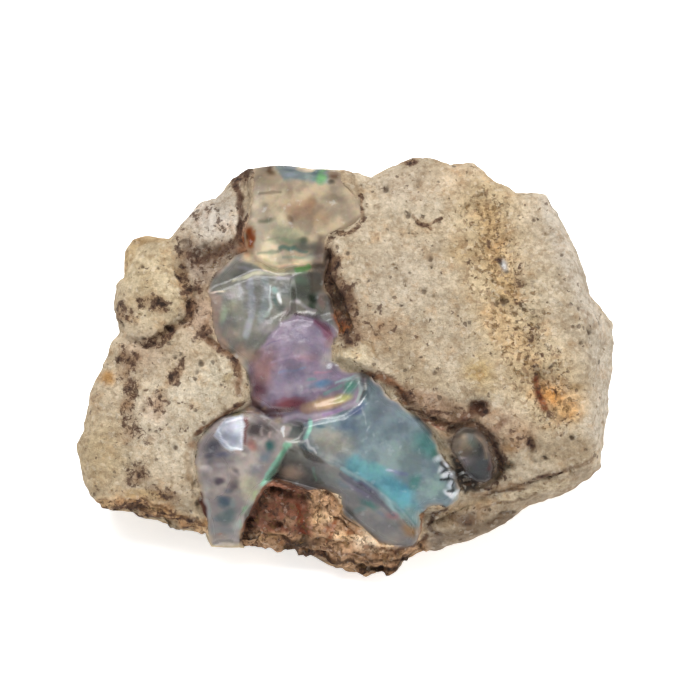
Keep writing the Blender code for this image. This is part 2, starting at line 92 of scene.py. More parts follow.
# Broken faces that bound the back, in the same way.
BACK_FACES = {
    "rear wall": ((8.4, 20.7, 1.0), (0.12, 1.35)),
    "rear wall, right part": ((20.2, 15.8, 1.8), (0.75, 1.20)),
    "rear wall, left part": ((-19.0, 12.8, 0.2), (-1.05, 1.15)),
    "left wall": ((-27.3, -8.5, 1.4), (-1.9, 0.15)),
    "right wall": ((26.3, 2.3, 3.2), (2.0, 0.20)),
    "lower front wall": ((3.6, -21.4, 1.8), (0.10, -1.9)),
    "lower left wall": ((-25.0, -14.4, 1.6), (-0.9, -1.5)),
    "lower right wall": ((25.0, -10.0, 3.8), (1.0, -1.5)),
}
BACK_ROUND = 1.0
BACK_FALL = 0.6  # the least slope at which the back falls away from the outline
# Knobs and hollows of the back: the centre, the two radii and the rise of each.
BACK_LUMPS = {
    "rear knob": ((-8.0, 14.5), (4.0, 2.6), 2.2),
    "rear hollow": ((4.5, 15.5), (3.6, 2.8), -2.2),
    "rear lower knob": ((11.5, 9.5), (4.0, 2.4), 2.0),
    "rear lower hollow": ((-1.5, 9.0), (4.0, 2.0), -1.8),
    "left wall hollow": ((-23.6, -3.0), (1.8, 3.4), -1.6),
    "right wall hollow": ((22.8, -3.0), (1.8, 4.0), -1.6),
    "right wall knob": ((21.4, 7.4), (2.2, 2.6), 1.4),
}
# v and w along the underside of the seam and of the nodule, straight across from side to side
SEAM_FLOOR = ((23.0, 0.2), (15.5, 3.4), (4.0, 4.4), (-7.0, 4.4), (-13.0, 2.8), (-21.5, -0.1))
NODULE_FLOOR = ((23.0, 6.2), (-21.5, 6.2))

# Outlines of the opal: u and v of their corners, once round.
SEAM = (
    (-9.8, 21.5), (-9.9, 18.0), (-10.1, 15.0), (-10.7, 13.3), (-10.3, 11.5), (-11.8, 10.9), (-12.8, 10.0),
    (-13.8, 8.7), (-14.3, 7.3), (-13.8, 5.5), (-13.6, 3.5), (-12.8, 2.0), (-11.4, 0.7), (-10.4, -0.7),
    (-10.0, -2.5), (-10.1, -3.7), (-11.2, -4.3), (-12.8, -5.0), (-14.2, -6.0), (-15.4, -7.6), (-15.6, -9.5),
    (-15.3, -11.5), (-15.0, -13.5), (-14.4, -15.5), (-14.2, -17.5), (-14.0, -20.0), (-11.0, -20.0),
    (-10.9, -17.3), (-10.5, -14.9), (-9.9, -13.8), (-8.9, -12.4), (-7.7, -11.3), (-6.0, -11.9),
    (-4.5, -12.3), (-2.5, -12.6), (-0.9, -13.2), (-0.7, -14.8), (0.5, -15.9), (1.7, -16.9), (3.0, -17.7),
    (4.7, -18.3), (6.4, -17.8), (6.8, -16.5), (7.1, -14.7), (7.6, -14.3), (9.6, -14.1), (10.9, -13.1),
    (11.3, -12.2), (10.5, -10.8), (9.4, -9.4), (8.9, -8.0), (8.0, -6.5), (7.0, -5.3), (5.5, -4.2),
    (4.2, -3.5), (3.4, -2.1), (1.2, -0.7), (-0.4, -0.2), (-1.5, 0.7), (-1.4, 2.0), (-0.8, 3.0),
    (-1.3, 4.5), (-1.9, 6.0), (-2.4, 7.5), (-2.5, 9.7), (-2.3, 11.5), (-1.9, 12.7), (-0.5, 13.4),
    (1.1, 14.8), (1.0, 16.5), (0.2, 17.5), (-0.5, 18.7), (-0.9, 21.5),
)
NODULE = (
    (10.2, -8.6), (10.4, -7.1), (11.3, -6.3), (12.4, -6.3), (13.4, -7.2), (14.0, -8.5), (14.4, -10.0),
    (14.3, -11.3), (13.4, -11.9), (12.5, -11.8), (11.4, -10.9),
)

# Facets of the opal, laid over each other in this order. Each has its outline, a point on it, its slopes
# dw/du and dw/dv, and how far it bulges: the drop in w at BULGE_REACH from its point.
OPAL_FACETS = {
    "seam bed": (SEAM, (-4.0, 0.0, 6.2), (0.03, -0.02), 0.0),
    "potch": (
        ((-9.9, 22.0), (-10.3, 12.4), (-9.6, 10.6), (-7.2, 9.4), (-2.6, 9.9), (-1.9, 12.7), (1.1, 14.8),
         (1.0, 16.5), (-0.9, 22.0)),
        (-5.0, 14.0, 6.5), (0.06, -0.13), 1.0,
    ),
    "clear window": (
        ((-14.3, 7.3), (-12.5, 7.9), (-9.4, 9.2), (-5.5, 8.9), (-5.7, 5.2), (-8.0, 3.3), (-11.2, 0.8),
         (-13.6, 2.5)),
        (-9.5, 5.5, 6.9), (0.05, -0.10), 1.5,
    ),
    "saddle below the window": (
        ((-11.6, 0.9), (-10.4, 2.4), (-8.2, 4.2), (-6.4, 5.0), (-8.4, 1.4), (-9.6, -1.2), (-10.8, -0.8)),
        (-9.6, 1.0, 7.1), (0.12, -0.02), 0.0,
    ),
    "dark notch": (
        ((-5.6, 9.2), (-2.5, 9.8), (-1.6, 5.0), (-3.0, 4.6), (-5.5, 5.1)),
        (-4.0, 7.0, 5.8), (-0.10, 0.15), 0.0,
    ),
    "wedge": (
        ((-7.0, -7.6), (-4.1, -8.9), (-1.1, -10.1), (1.8, -11.9), (4.4, -13.9), (6.6, -16.6), (6.4, -18.3),
         (3.0, -18.3), (-0.7, -14.8), (-2.5, -12.9), (-8.2, -11.4)),
        (-1.0, -11.4, 6.6), (0.42, 0.55), 1.0,
    ),
    "blue panel": (
        ((-4.8, -7.9), (-4.5, -5.8), (1.6, -3.4), (1.8, -1.0), (3.4, -1.8), (9.0, -7.8), (11.4, -12.2),
         (9.6, -14.4), (7.1, -14.5), (6.7, -16.6), (4.4, -13.9), (1.8, -11.9), (-1.1, -10.1), (-4.1, -8.9)),
        (3.0, -8.5, 7.6), (0.04, 0.02), -1.0,
    ),
    "tooth": (
        ((-15.6, -9.5), (-15.4, -7.4), (-12.8, -5.0), (-9.8, -5.0), (-6.2, -7.6), (-7.0, -9.7),
         (-8.9, -12.4), (-10.5, -14.9), (-10.9, -20.0), (-14.1, -20.0), (-15.0, -13.5)),
        (-12.0, -9.0, 6.9), (0.05, 0.10), 3.0,
    ),
    "lens rim": (
        ((-9.2, -4.6), (-7.6, -5.4), (-4.7, -5.9), (-0.6, -5.1), (1.1, -3.9), (1.7, -2.5), (1.1, -0.8),
         (-2.0, 0.0), (-8.0, -2.0)),
        (-2.5, -3.0, 8.0), (0.02, 0.20), 4.0,
    ),
    "purple lens": (
        ((-9.9, -3.4), (-10.0, -0.6), (-9.0, 1.8), (-7.0, 4.4), (-5.2, 5.0), (-3.4, 4.8), (-1.2, 2.9),
         (-1.4, 0.6), (-0.2, -0.3), (1.0, -1.0), (-0.8, -3.3), (-4.6, -4.4), (-8.2, -4.4)),
        (-4.8, 0.4, 8.3), (0.0, 0.02), 3.6,
    ),
    "nodule": (NODULE, (12.3, -9.1, 8.9), (0.0, 0.05), 5.0),
}
FACET_EDGE = 0.8  # width of the step between two facets

# Open joints in the host rock, each a line of points with its width and depth.
CRACKS = {
    "left of the potch": (((-10.1, 20.0), (-10.3, 16.0), (-11.0, 13.4), (-10.6, 11.6)), 0.4, 0.7),
    "right of the potch": (((1.0, 16.6), (1.1, 14.8), (-0.5, 13.3), (-1.9, 12.6), (-2.3, 10.6)), 0.3, 0.5),
    "right of the clear window": (((-2.3, 10.6), (-2.2, 7.5), (-1.5, 5.2), (-0.8, 3.2)), 0.7, 1.4),
    "round the left lobe": (
        ((-16.6, 12.0), (-16.9, 9.0), (-15.6, 6.8), (-16.0, 4.8), (-18.0, 3.6), (-20.2, 1.6), (-23.6, 2.9)),
        0.45, 0.7,
    ),
    "left of the lens": (
        ((-14.0, 2.5), (-12.0, 1.0), (-10.7, -0.7), (-10.2, -3.0), (-10.3, -4.4)), 0.35, 0.5,
    ),
    "above the tooth": (((-10.3, -4.4), (-12.8, -5.2), (-15.4, -7.4)), 0.3, 0.4),
    "above the blue panel": (((-0.3, -0.1), (2.0, -0.9), (4.4, -3.0), (7.4, -5.0), (9.8, -6.4)), 0.4, 0.8),
    "round the nodule": (((10.0, -6.6), (12.2, -5.7), (14.4, -7.9), (15.0, -10.6), (14.2, -12.4)), 0.45, 0.8),
    "left of the tooth": (((-15.3, -13.0), (-14.9, -14.8), (-14.3, -16.2)), 0.4, 0.9),
    "right of the tooth": (((-10.6, -14.0), (-10.6, -15.8), (-10.3, -17.2)), 0.6, 1.6),
    "bedding of the ledge": (((8.2, -15.6), (12.6, -13.6), (17.0, -11.9), (21.0, -10.6)), 0.3, 0.4),
}
# Lobes and hollows of the front: the centre, the two radii and the rise of each.
LUMPS = {
    "upper left lobe": ((-19.6, 8.4), (3.4, 3.6), 1.1),
    "lower left shoulder": ((-20.0, -8.5), (6.0, 4.5), 0.8),
    "tongue over the lens": ((0.6, 0.9), (2.0, 1.3), 0.7),
    "dip of the mottled corner": ((-14.5, 11.0), (2.6, 3.4), -0.8),
    "top right knoll": ((9.0, 17.0), (5.0, 3.0), 0.6),
    "saddle beside the knoll": ((2.6, 17.6), (2.0, 1.6), -0.6),
    "iron clay hollow": ((-8.6, -14.6), (2.4, 2.2), -1.1),
    "iron clay shelf": ((-1.5, -17.5), (4.5, 1.4), 0.7),
    "ochre hollow": ((19.3, -2.8), (1.8, 1.6), -0.5),
    "pit above the nodule": ((12.6, -4.3), (0.9, 0.8), -0.9),
    "comma pit": ((18.0, -7.9), (0.9, 1.2), -0.8),
    "crumbled grain field": ((15.5, 7.0), (4.5, 7.0), -0.5),
    "ledge nose": ((10.5, -16.4), (3.0, 1.0), 0.6),
}
# How uneven the broken surface is: the wavelength, height and seed of each noise.
ROUGHNESS = ((17.0, 0.70, 10), (9.0, 0.55, 11), (4.5, 0.35, 12), (2.4, 0.20, 13))
OPAL_SMOOTHNESS = 0.25  # the share of it that is left on the opal

# ---------------------------------------------------------------- sizes of the fine surface

ROCK_CELLS = 280  # cells along each side of the front's grid; the back has half as many
OPAL_CELLS = 380
ROUGH_REACH = 2.5  # how far from the opal the rock's roughness is in full
NO_OPAL = 9.0  # a distance that counts as far from any opal
GROUND_TOUCH = 1e-6  # a point of the back this close to the ground rests on it

# Fine noises: the wavelength, height and seed of each.
FINE_GRAIN = ((1.5, 0.17, 21), (0.8, 0.12, 22), (0.42, 0.09, 23))
CRUMBLE = ((3.1, 0.8, 31), (1.6, 0.8, 32), (0.8, 0.35, 33))
CONCHOIDAL = ((1.6, 0.05, 41), (0.7, 0.02, 42))
GRAIN_WITHOUT_GRIT = 0.35  # how much of the fine grain there is where nothing is gritty
CRUMBLES_AT = (0.9, 1.6)  # the grit at which the rock starts to crumble, and crumbles in full
GRAIN_BESIDE_OPAL = (-0.4, 0.5)  # the distances from the opal where the fine grain starts and is in full
SCATTERED_PITS = (1.6, 0.34, 0.35, 71)  # the cell, the radius, the chance of a pit in a cell, and the seed
SCATTERED_DEPTH = 0.3

# How drawn edges wander: the reach, wavelength and seed of a slow drift, then of a quick one.
JOINT_DRIFT = ((0.35, 2.1, 51), (0.10, 0.6, 53))
ROCK_DRIFT = ((0.35, 1.9, 61), (0.15, 0.7, 63))
OPAL_DRIFT = ((0.35, 1.8, 91), (0.14, 0.6, 93))
SIDE_DRIFT = 0.9  # how much further the opal's colours wander on its steep sides
STEEP_SIDE = 1.2  # how far in from the outline those sides reach

POCKET_GAP = 0.15  # clear space below the opal
POCKET_WALL = 0.4  # how wide the pocket's wall is, seen from the front
NODULE_POCKET = 1.0  # how far out from the nodule the floor is its own
TUCK = 0.35  # how far the pocket is drawn in where it cuts the outline
TUCK_WIDTH = 0.6  # and over what width beside the outline
RIM_SHELL = 0.35  # how thick the opal is where it wraps over the outline
THINNEST = 0.15
OPAL_LAP = 0.12  # how far the rock lies under the thin edge of the opal before it drops into the pocket
OPAL_OVERLAP = 0.3  # how far the opal runs under the edge of the rock
OPAL_REACH = 1.2  # how far out from its drawn outline an opal may wander
EDGE_SINK = 0.05  # how far below the rock the opal meets it
SINKS_AT = (-0.3, 0.0)  # the distances from its edge where it starts to sink and has sunk
DIVE = 3.0  # how far the opal drops under the rock
DIVES_AT = (0.1, 0.5)  # the same for that drop
ON_OUTLINE = 0.05  # a point this close to the lump's outline is on it
LIP_REACH = 1.2  # how far in from the outline the opal calms the grain of the back
LIP_INWARD = 0.5  # how far in from the outline the lip ends
LIP_COVER = 0.4  # how far inside the back it ends

# ---------------------------------------------------------------- how the colours are laid on

WASH_CORE = 0.25  # the share of a spot's or line's size that its colour covers in full
SPOT_SPILL = 1.4  # how many times its radii a spot's colour reaches
FACE_FADE = 4.0  # how far down the sides the face's colours give way to plain rock
SIDE_GRIT = 0.6  # the amounts on plain rock
SIDE_STAIN = 0.25
POCKET_STAIN = 0.5  # the share of the rock's stain that is left in the pocket
ASH_CREAM = "#CDBDA3"  # what the rock's washes are laid on
OPAL_GREY = "#8A8A88"  # what the opal's washes are laid on
PLAIN_ROCK = "#C9B897"
# Patches on the plain rock: the colour, its noises, and the noise at which it starts.
PLAIN_PATCHES = (
    ("#B79A6C", ((7.0, 1.0, 81), (1.4, 0.4, 86)), 0.1),
    ("#D8CAAE", ((5.0, 1.0, 82), (1.4, 0.4, 87)), 0.15),
    ("#9C8266", ((3.6, 1.0, 83), (1.4, 0.4, 88)), 0.35),
    ("#C2935A", ((9.0, 1.0, 84), (1.4, 0.4, 89)), 0.45),
)
PATCH_COVER = 0.7
PATCH_EDGE = 0.3  # how much further the noise goes to full cover
POCKET_LINING = "#8A7460"
POCKET_OPAL = 0.7  # the share of the opal's colours in the pocket's; the lining has the rest
HOST_GAIN = 0.96  # washes on the matt rock are laid on a little darker
HOST_BRIGHTEST = 1.5  # and lifted, painted light included, no further than this
GLASS_GAIN = (1.24, 1.21, 1.13)  # those on glassy opal lighter, for the light that stays in it
MILK_GAIN = 0.47  # and those on milky opal darker, which gives all its light back
OPAL_CONTRAST = 1.25
OPAL_MIDDLE = 0.22  # the brightness, 0 to 1, that the contrast leaves as it is
OPAL_BRIGHTEST = 0.9
EDGE_MILK = 0.6  # how cloudy the opal is all along its edge
CLOUDS_AT = (-0.9, -0.2)  # the distances from its edge where that starts and is in full
SKIN_AT = (-0.6, -0.05)  # the same for the rock's skin where it laps over
SKIN_TO_THE_EDGE = (-0.22, -0.07)  # and for the last of it, which hides the glass everywhere
SKIN_PATCHES = (0.8, 95)  # wavelength and seed
SKIN_OF_ROCK = 0.5  # how much of the rock's washes and of its own colour the skin shows
SKIN_OF_ITS_OWN = 0.35
RIND = "#BBA988"  # weathered opal that the seam ends in, over the top edge
RIND_COVER = 0.85
RIND_MILK = 0.95
RIND_AT = (1.3, 0.6)  # the heights above the outline where the rind starts and is in full
RIND_RAGGED = 1.6  # how far its edge wanders
RIND_PATCHES = (1.5, 96)
RIND_EVEN = 0.8  # how high above the outline its edge starts to wander in full


def smooth_min(a, b, width):
    """The lesser of two heights, with the edge between them rounded over width."""
    near = np.clip(width - np.abs(a - b), 0.0, None) / width
    return np.minimum(a, b) - near * near * width / 4.0


def ease(t):
    """0 to 1 with flat ends."""
    t = np.clip(t, 0.0, 1.0)
    return t * t * (3.0 - 2.0 * t)


def ramp(value, start, end):
    """0 where the value is at start and 1 where it is at end, with flat ends."""
    return ease((value - start) / (end - start))


def sloped_plane(u, v, point, slope):
    """w of a flat face through the point, with slopes dw/du and dw/dv."""
    return point[2] + slope[0] * (u - point[0]) + slope[1] * (v - point[1])


def nearest_on_line(u, v, points):
    """Distance from each (u, v) to a line of points."""
    p = np.array(points, float)
    start, along = p[:-1], np.diff(p, axis=0)
    best = np.full(u.shape, np.inf)
    for (su, sv), (au, av) in zip(start, along):
        share = np.clip(((u - su) * au + (v - sv) * av) / (au * au + av * av), 0.0, 1.0)
        best = np.minimum(best, np.hypot(u - su - share * au, v - sv - share * av))
    return best


def outline_distance(u, v, corners):
    """Signed distance to a closed outline, negative inside: the sign comes from counting crossings."""
    inside = np.zeros(u.shape, bool)
    for (pu, pv), (qu, qv) in zip(corners, [*corners[1:], corners[0]]):
        if pv != qv:
            inside ^= ((pv > v) != (qv > v)) & (u < pu + (v - pv) * (qu - pu) / (qv - pv))
    distance = nearest_on_line(u, v, [*corners, corners[0]])
    return np.where(inside, -distance, distance)


def lattice_noise(points, wavelength, seed):
    """Smooth noise from -1 to 1: random values on a cubic lattice, eased between its corners."""
    values = np.random.RandomState(seed).uniform(-1.0, 1.0, (LATTICE,) * 3)
    cell = np.floor(points / wavelength).astype(int)
    part = ease(points / wavelength - cell)
    total = np.zeros(points.shape[:-1])
    for corner in np.ndindex(2, 2, 2):
        i, j, k = np.moveaxis((cell + corner) % LATTICE, -1, 0)
        total += values[i, j, k] * np.prod(np.where(corner, part, 1.0 - part), axis=-1)
    return total


def octaves(points, table):
    """Sum of lattice noises, one for each (wavelength, height, seed)."""
    return sum(size * lattice_noise(points, wavelength, seed) for wavelength, size, seed in table)


def rim_at(angle):
    """Radius and w of the lump's outline at an angle round FACE_CENTRE."""
    corners = np.array(OUTLINE) - FACE_CENTRE
    turn = 2.0 * math.pi
    radius = np.interp(
        angle, np.arctan2(corners[:, 1], corners[:, 0]) % turn, np.hypot(*corners.T), period=turn
    )
    degrees, heights = np.array(RIM, float).T
    return radius, np.interp(angle, np.radians(degrees), heights, period=turn)


def host_height(u, v):
    """w of the host rock's front: its broken faces, then its lumps, then its open joints."""
    height = np.full(u.shape, HIGHEST)
    for point, slope in FRONT_FACES.values():
        height = smooth_min(height, sloped_plane(u, v, point, slope), FRONT_ROUND)
    for centre, radii, rise in LUMPS.values():
        height += rise * np.exp(-(((u - centre[0]) / radii[0]) ** 2) - ((v - centre[1]) / radii[1]) ** 2)
    for line, width, depth in CRACKS.values():
        height -= depth * np.exp(-((nearest_on_line(u, v, line) / width) ** 2))
    return height


def opal_height(u, v):
    """w of the opal's face: its facets laid over each other, with a short step between them."""
    height = host_height(u, v)
    for outline, point, slope, bulge in OPAL_FACETS.values():
        facet = sloped_plane(u, v, point, slope)
        facet -= bulge * ((u - point[0]) ** 2 + (v - point[1]) ** 2) / BULGE_REACH**2
        height += (facet - height) * ease(0.5 - outline_distance(u, v, outline) / FACET_EDGE)
    return height


def ground(v):
    """w of the ground plane."""
    return -(HEIGHT_OF_CENTRE + v * math.cos(FACE_RISE)) / math.sin(FACE_RISE)


def back_height(u, v):
    """w of the back: its broken faces, cut off flat where they would pass below the ground."""
    depth = -ground(v) + 2.0
    for point, slope in BACK_FACES.values():
        depth = smooth_min(depth, -sloped_plane(u, v, point, slope), BACK_ROUND)
    for centre, radii, rise in BACK_LUMPS.values():
        depth += rise * np.exp(-(((u - centre[0]) / radii[0]) ** 2) - ((v - centre[1]) / radii[1]) ** 2)
    return np.maximum(-depth, ground(v))


def opal_depth(points, inward, floor):
    """How deep the opal goes below the face: to its floor, or a thin shell where it meets the outline."""
    profile = np.array(sorted(floor))
    depth = np.maximum(points[..., 2] - np.interp(points[..., 1], *profile.T), RIM_SHELL)
    return depth + (RIM_SHELL - depth) * ease(1.0 - inward / RIM_ROUND)


def disc_grid(cells):
    """A square grid spread evenly over the unit disc, ring by ring: radius and angle of each node."""
    a, b = np.meshgrid(np.linspace(-1.0, 1.0, cells + 1), np.linspace(-1.0, 1.0, cells + 1), indexing="ij")
    wide = np.abs(a) >= np.abs(b)
    safe_a, safe_b = np.where(a == 0, 1.0, a), np.where(b == 0, 1.0, b)
    angle = np.where(wide, b / safe_a, 2.0 - a / safe_b) * math.pi / 4.0
    return np.where(wide, a, b), np.where((a == 0) & (b == 0), 0.0, angle)


def spread(cells):
    """The lump's grid on the face: u, v, distance in from the outline, and w of the outline beside each."""
    signed, angle = disc_grid(cells)
    turned = np.where(signed < 0, angle + math.pi, angle) % (2.0 * math.pi)
    radius, rim = rim_at(turned)
    share = np.abs(signed) * (1.0 + EDGE_CROWDING * (1.0 - np.abs(signed)))
    u = FACE_CENTRE[0] + share * radius * np.cos(turned)
    v = FACE_CENTRE[1] + share * radius * np.sin(turned)
    return u, v, radius * (1.0 - share), rim


def rounded(height, inward, rim):
    """The height brought down to the outline over RIM_ROUND, as a quarter of an ellipse."""
    left = 1.0 - np.clip(inward / RIM_ROUND, 0.0, 1.0)
    return rim + (height - rim) * np.sqrt(1.0 - left**2)


def ring_of(index):
    """The border of a square array of vertex numbers, once round."""
    return np.concatenate([index[:-1, 0], index[-1, :-1], index[:0:-1, -1], index[0, :0:-1]])


def cells_of(index):
    """The four corners of each cell of an array of vertex numbers."""
    return np.stack([index[:-1, :-1], index[1:, :-1], index[1:, 1:], index[:-1, 1:]], -1).reshape(-1, 4)


def surface_normals(points, quads, triangles):
    """Unit normals at the points, from the faces that meet there."""
    corners = np.concatenate([quads[:, [0, 1, 2]], quads[:, [0, 2, 3]], triangles])
    a, b, c = points[corners[:, 0]], points[corners[:, 1]], points[corners[:, 2]]
    face_normals = np.cross(b - a, c - a)
    normals = np.stack(
        [np.bincount(corners.ravel(), np.repeat(face_normals[:, k], 3), len(points)) for k in range(3)], -1
    )
    return normals / np.maximum(np.linalg.norm(normals, axis=1, keepdims=True), 1e-12)


def to_row(points):
    """Face frame in millimetres to the row frame in metres."""
    u, v, w = np.moveaxis(np.asarray(points, float), -1, 0)
    rise, run = math.sin(FACE_RISE), math.cos(FACE_RISE)
    x = u + ROW_SHIFT[0]
    y = v * rise - w * run + ROW_SHIFT[1]
    z = v * run + w * rise + HEIGHT_OF_CENTRE
    return np.stack([x, y, z], -1) * MM


def mesh_piece(name, points, quads, triangles, colour, values, node):
    """A mesh object in the row frame with a colour attribute and named values at its points."""
    used = np.unique(np.concatenate([quads.ravel(), triangles.ravel()]))
    number = np.zeros(len(points), int)
    number[used] = np.arange(len(used))
    row = to_row(points[used])
    row[:, 2] = np.maximum(row[:, 2], 0.0)
    mesh = bpy.data.meshes.new(name)
    mesh.from_pydata(row.tolist(), [], [*number[quads].tolist(), *number[triangles].tolist()])
    mesh.polygons.foreach_set("use_smooth", np.ones(len(mesh.polygons), bool))
    layer = mesh.color_attributes.new("tint", "FLOAT_COLOR", "POINT")
    layer.data.foreach_set("color", np.column_stack([colour[used], np.ones(len(used))]).ravel())
    for key, value in values.items():
        mesh.attributes.new(key, "FLOAT", "POINT").data.foreach_set("value", value[used])
    mesh.update()
    piece = bpy.data.objects.new(name, mesh)
    bpy.context.scene.collection.objects.link(piece)
    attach(piece, "root")
    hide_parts(node)
    return piece


# ---------------------------------------------------------------- colour laid on at the points

def linear(hex_colour):
    """sRGB hex to linear RGB."""
    channels = np.array([int(hex_colour[i:i + 2], 16) for i in (1, 3, 5)]) / 255.0
    return np.where(channels <= 0.04045, channels / 12.92, ((channels + 0.055) / 1.055) ** 2.4)


def cover_of(kind, where, size, u, v):
    """How much a wash covers each point, 0 to 1: an ellipse, a line with soft sides, or an outline.

    An ellipse and a line are covered in full up to WASH_CORE of their size and not at all from SPOT_SPILL
    or once their size; an outline fades out over its size to either side.
    """
    if kind == "spot":
        turn = math.radians(where[2]) if len(where) > 2 else 0.0
        du, dv = u - where[0], v - where[1]
        along = (du * math.cos(turn) + dv * math.sin(turn)) / size[0]
        across = (dv * math.cos(turn) - du * math.sin(turn)) / size[1]
        return ramp(np.hypot(along, across), SPOT_SPILL, WASH_CORE)
    if kind == "line":
        return ramp(nearest_on_line(u, v, where), size, WASH_CORE * size)
    return ramp(outline_distance(u, v, where), size, -size)


def wash(u, v, ground_colour, table):
    """Washes of colour laid over each other in order."""
    colour = np.ones((*u.shape, 3)) * ground_colour
    for kind, where, size, tint, strength in table:
        cover = (strength * cover_of(kind, where, size, u, v))[..., None]
        colour += (linear(tint) - colour) * cover
    return colour


def amount(u, v, table):
    """Amounts laid side by side: the greatest at each point."""
    total = np.zeros(u.shape)
    for kind, where, size, strength in table:
        total = np.maximum(total, strength * cover_of(kind, where, size, u, v))
    return total


def wandered(u, v, points, drifts, further=0.0):
    """The points' u and v moved about by each drift in turn, so that drawn shapes get natural edges.

    Each adds its reach times a noise; further is added to the reach of the first.
    """
    for reach, wavelength, seed in drifts:
        u = u + (reach + further) * lattice_noise(points, wavelength, seed)
        v = v + (reach + further) * lattice_noise(points, wavelength, seed + 1)
        further = 0.0
    return u, v


# Places that the tables share.
SEAM_EDGE = (*SEAM, SEAM[0])
SEAM_LEFT_EDGE = SEAM[1:24]  # from the top down to the foot of the tooth
SEAM_RIGHT_EDGE = SEAM[44:]  # from the ledge up to the top
NODULE_EDGE = (*NODULE, NODULE[0])
NODULE_RIM = ((12.4, -5.9), (13.5, -6.9), (14.3, -8.4), (14.6, -10.2), (14.0, -11.4))
# outline of a milky shard on top of the tooth, whose pale colour is partly a painted reflection
MILKY_SHARD_WITH_PAINTED_GLARE = (
    (-12.1, -5.2), (-10.3, -5.1), (-10.2, -5.7), (-10.6, -7.4), (-10.9, -8.3), (-11.9, -8.5),
    (-12.6, -7.9), (-13.6, -7.0), (-13.0, -6.2),
)
LEFT_FOOT = ((-24.6, -13.8), (-21.0, -14.4), (-17.6, -15.4), (-14.6, -16.8))

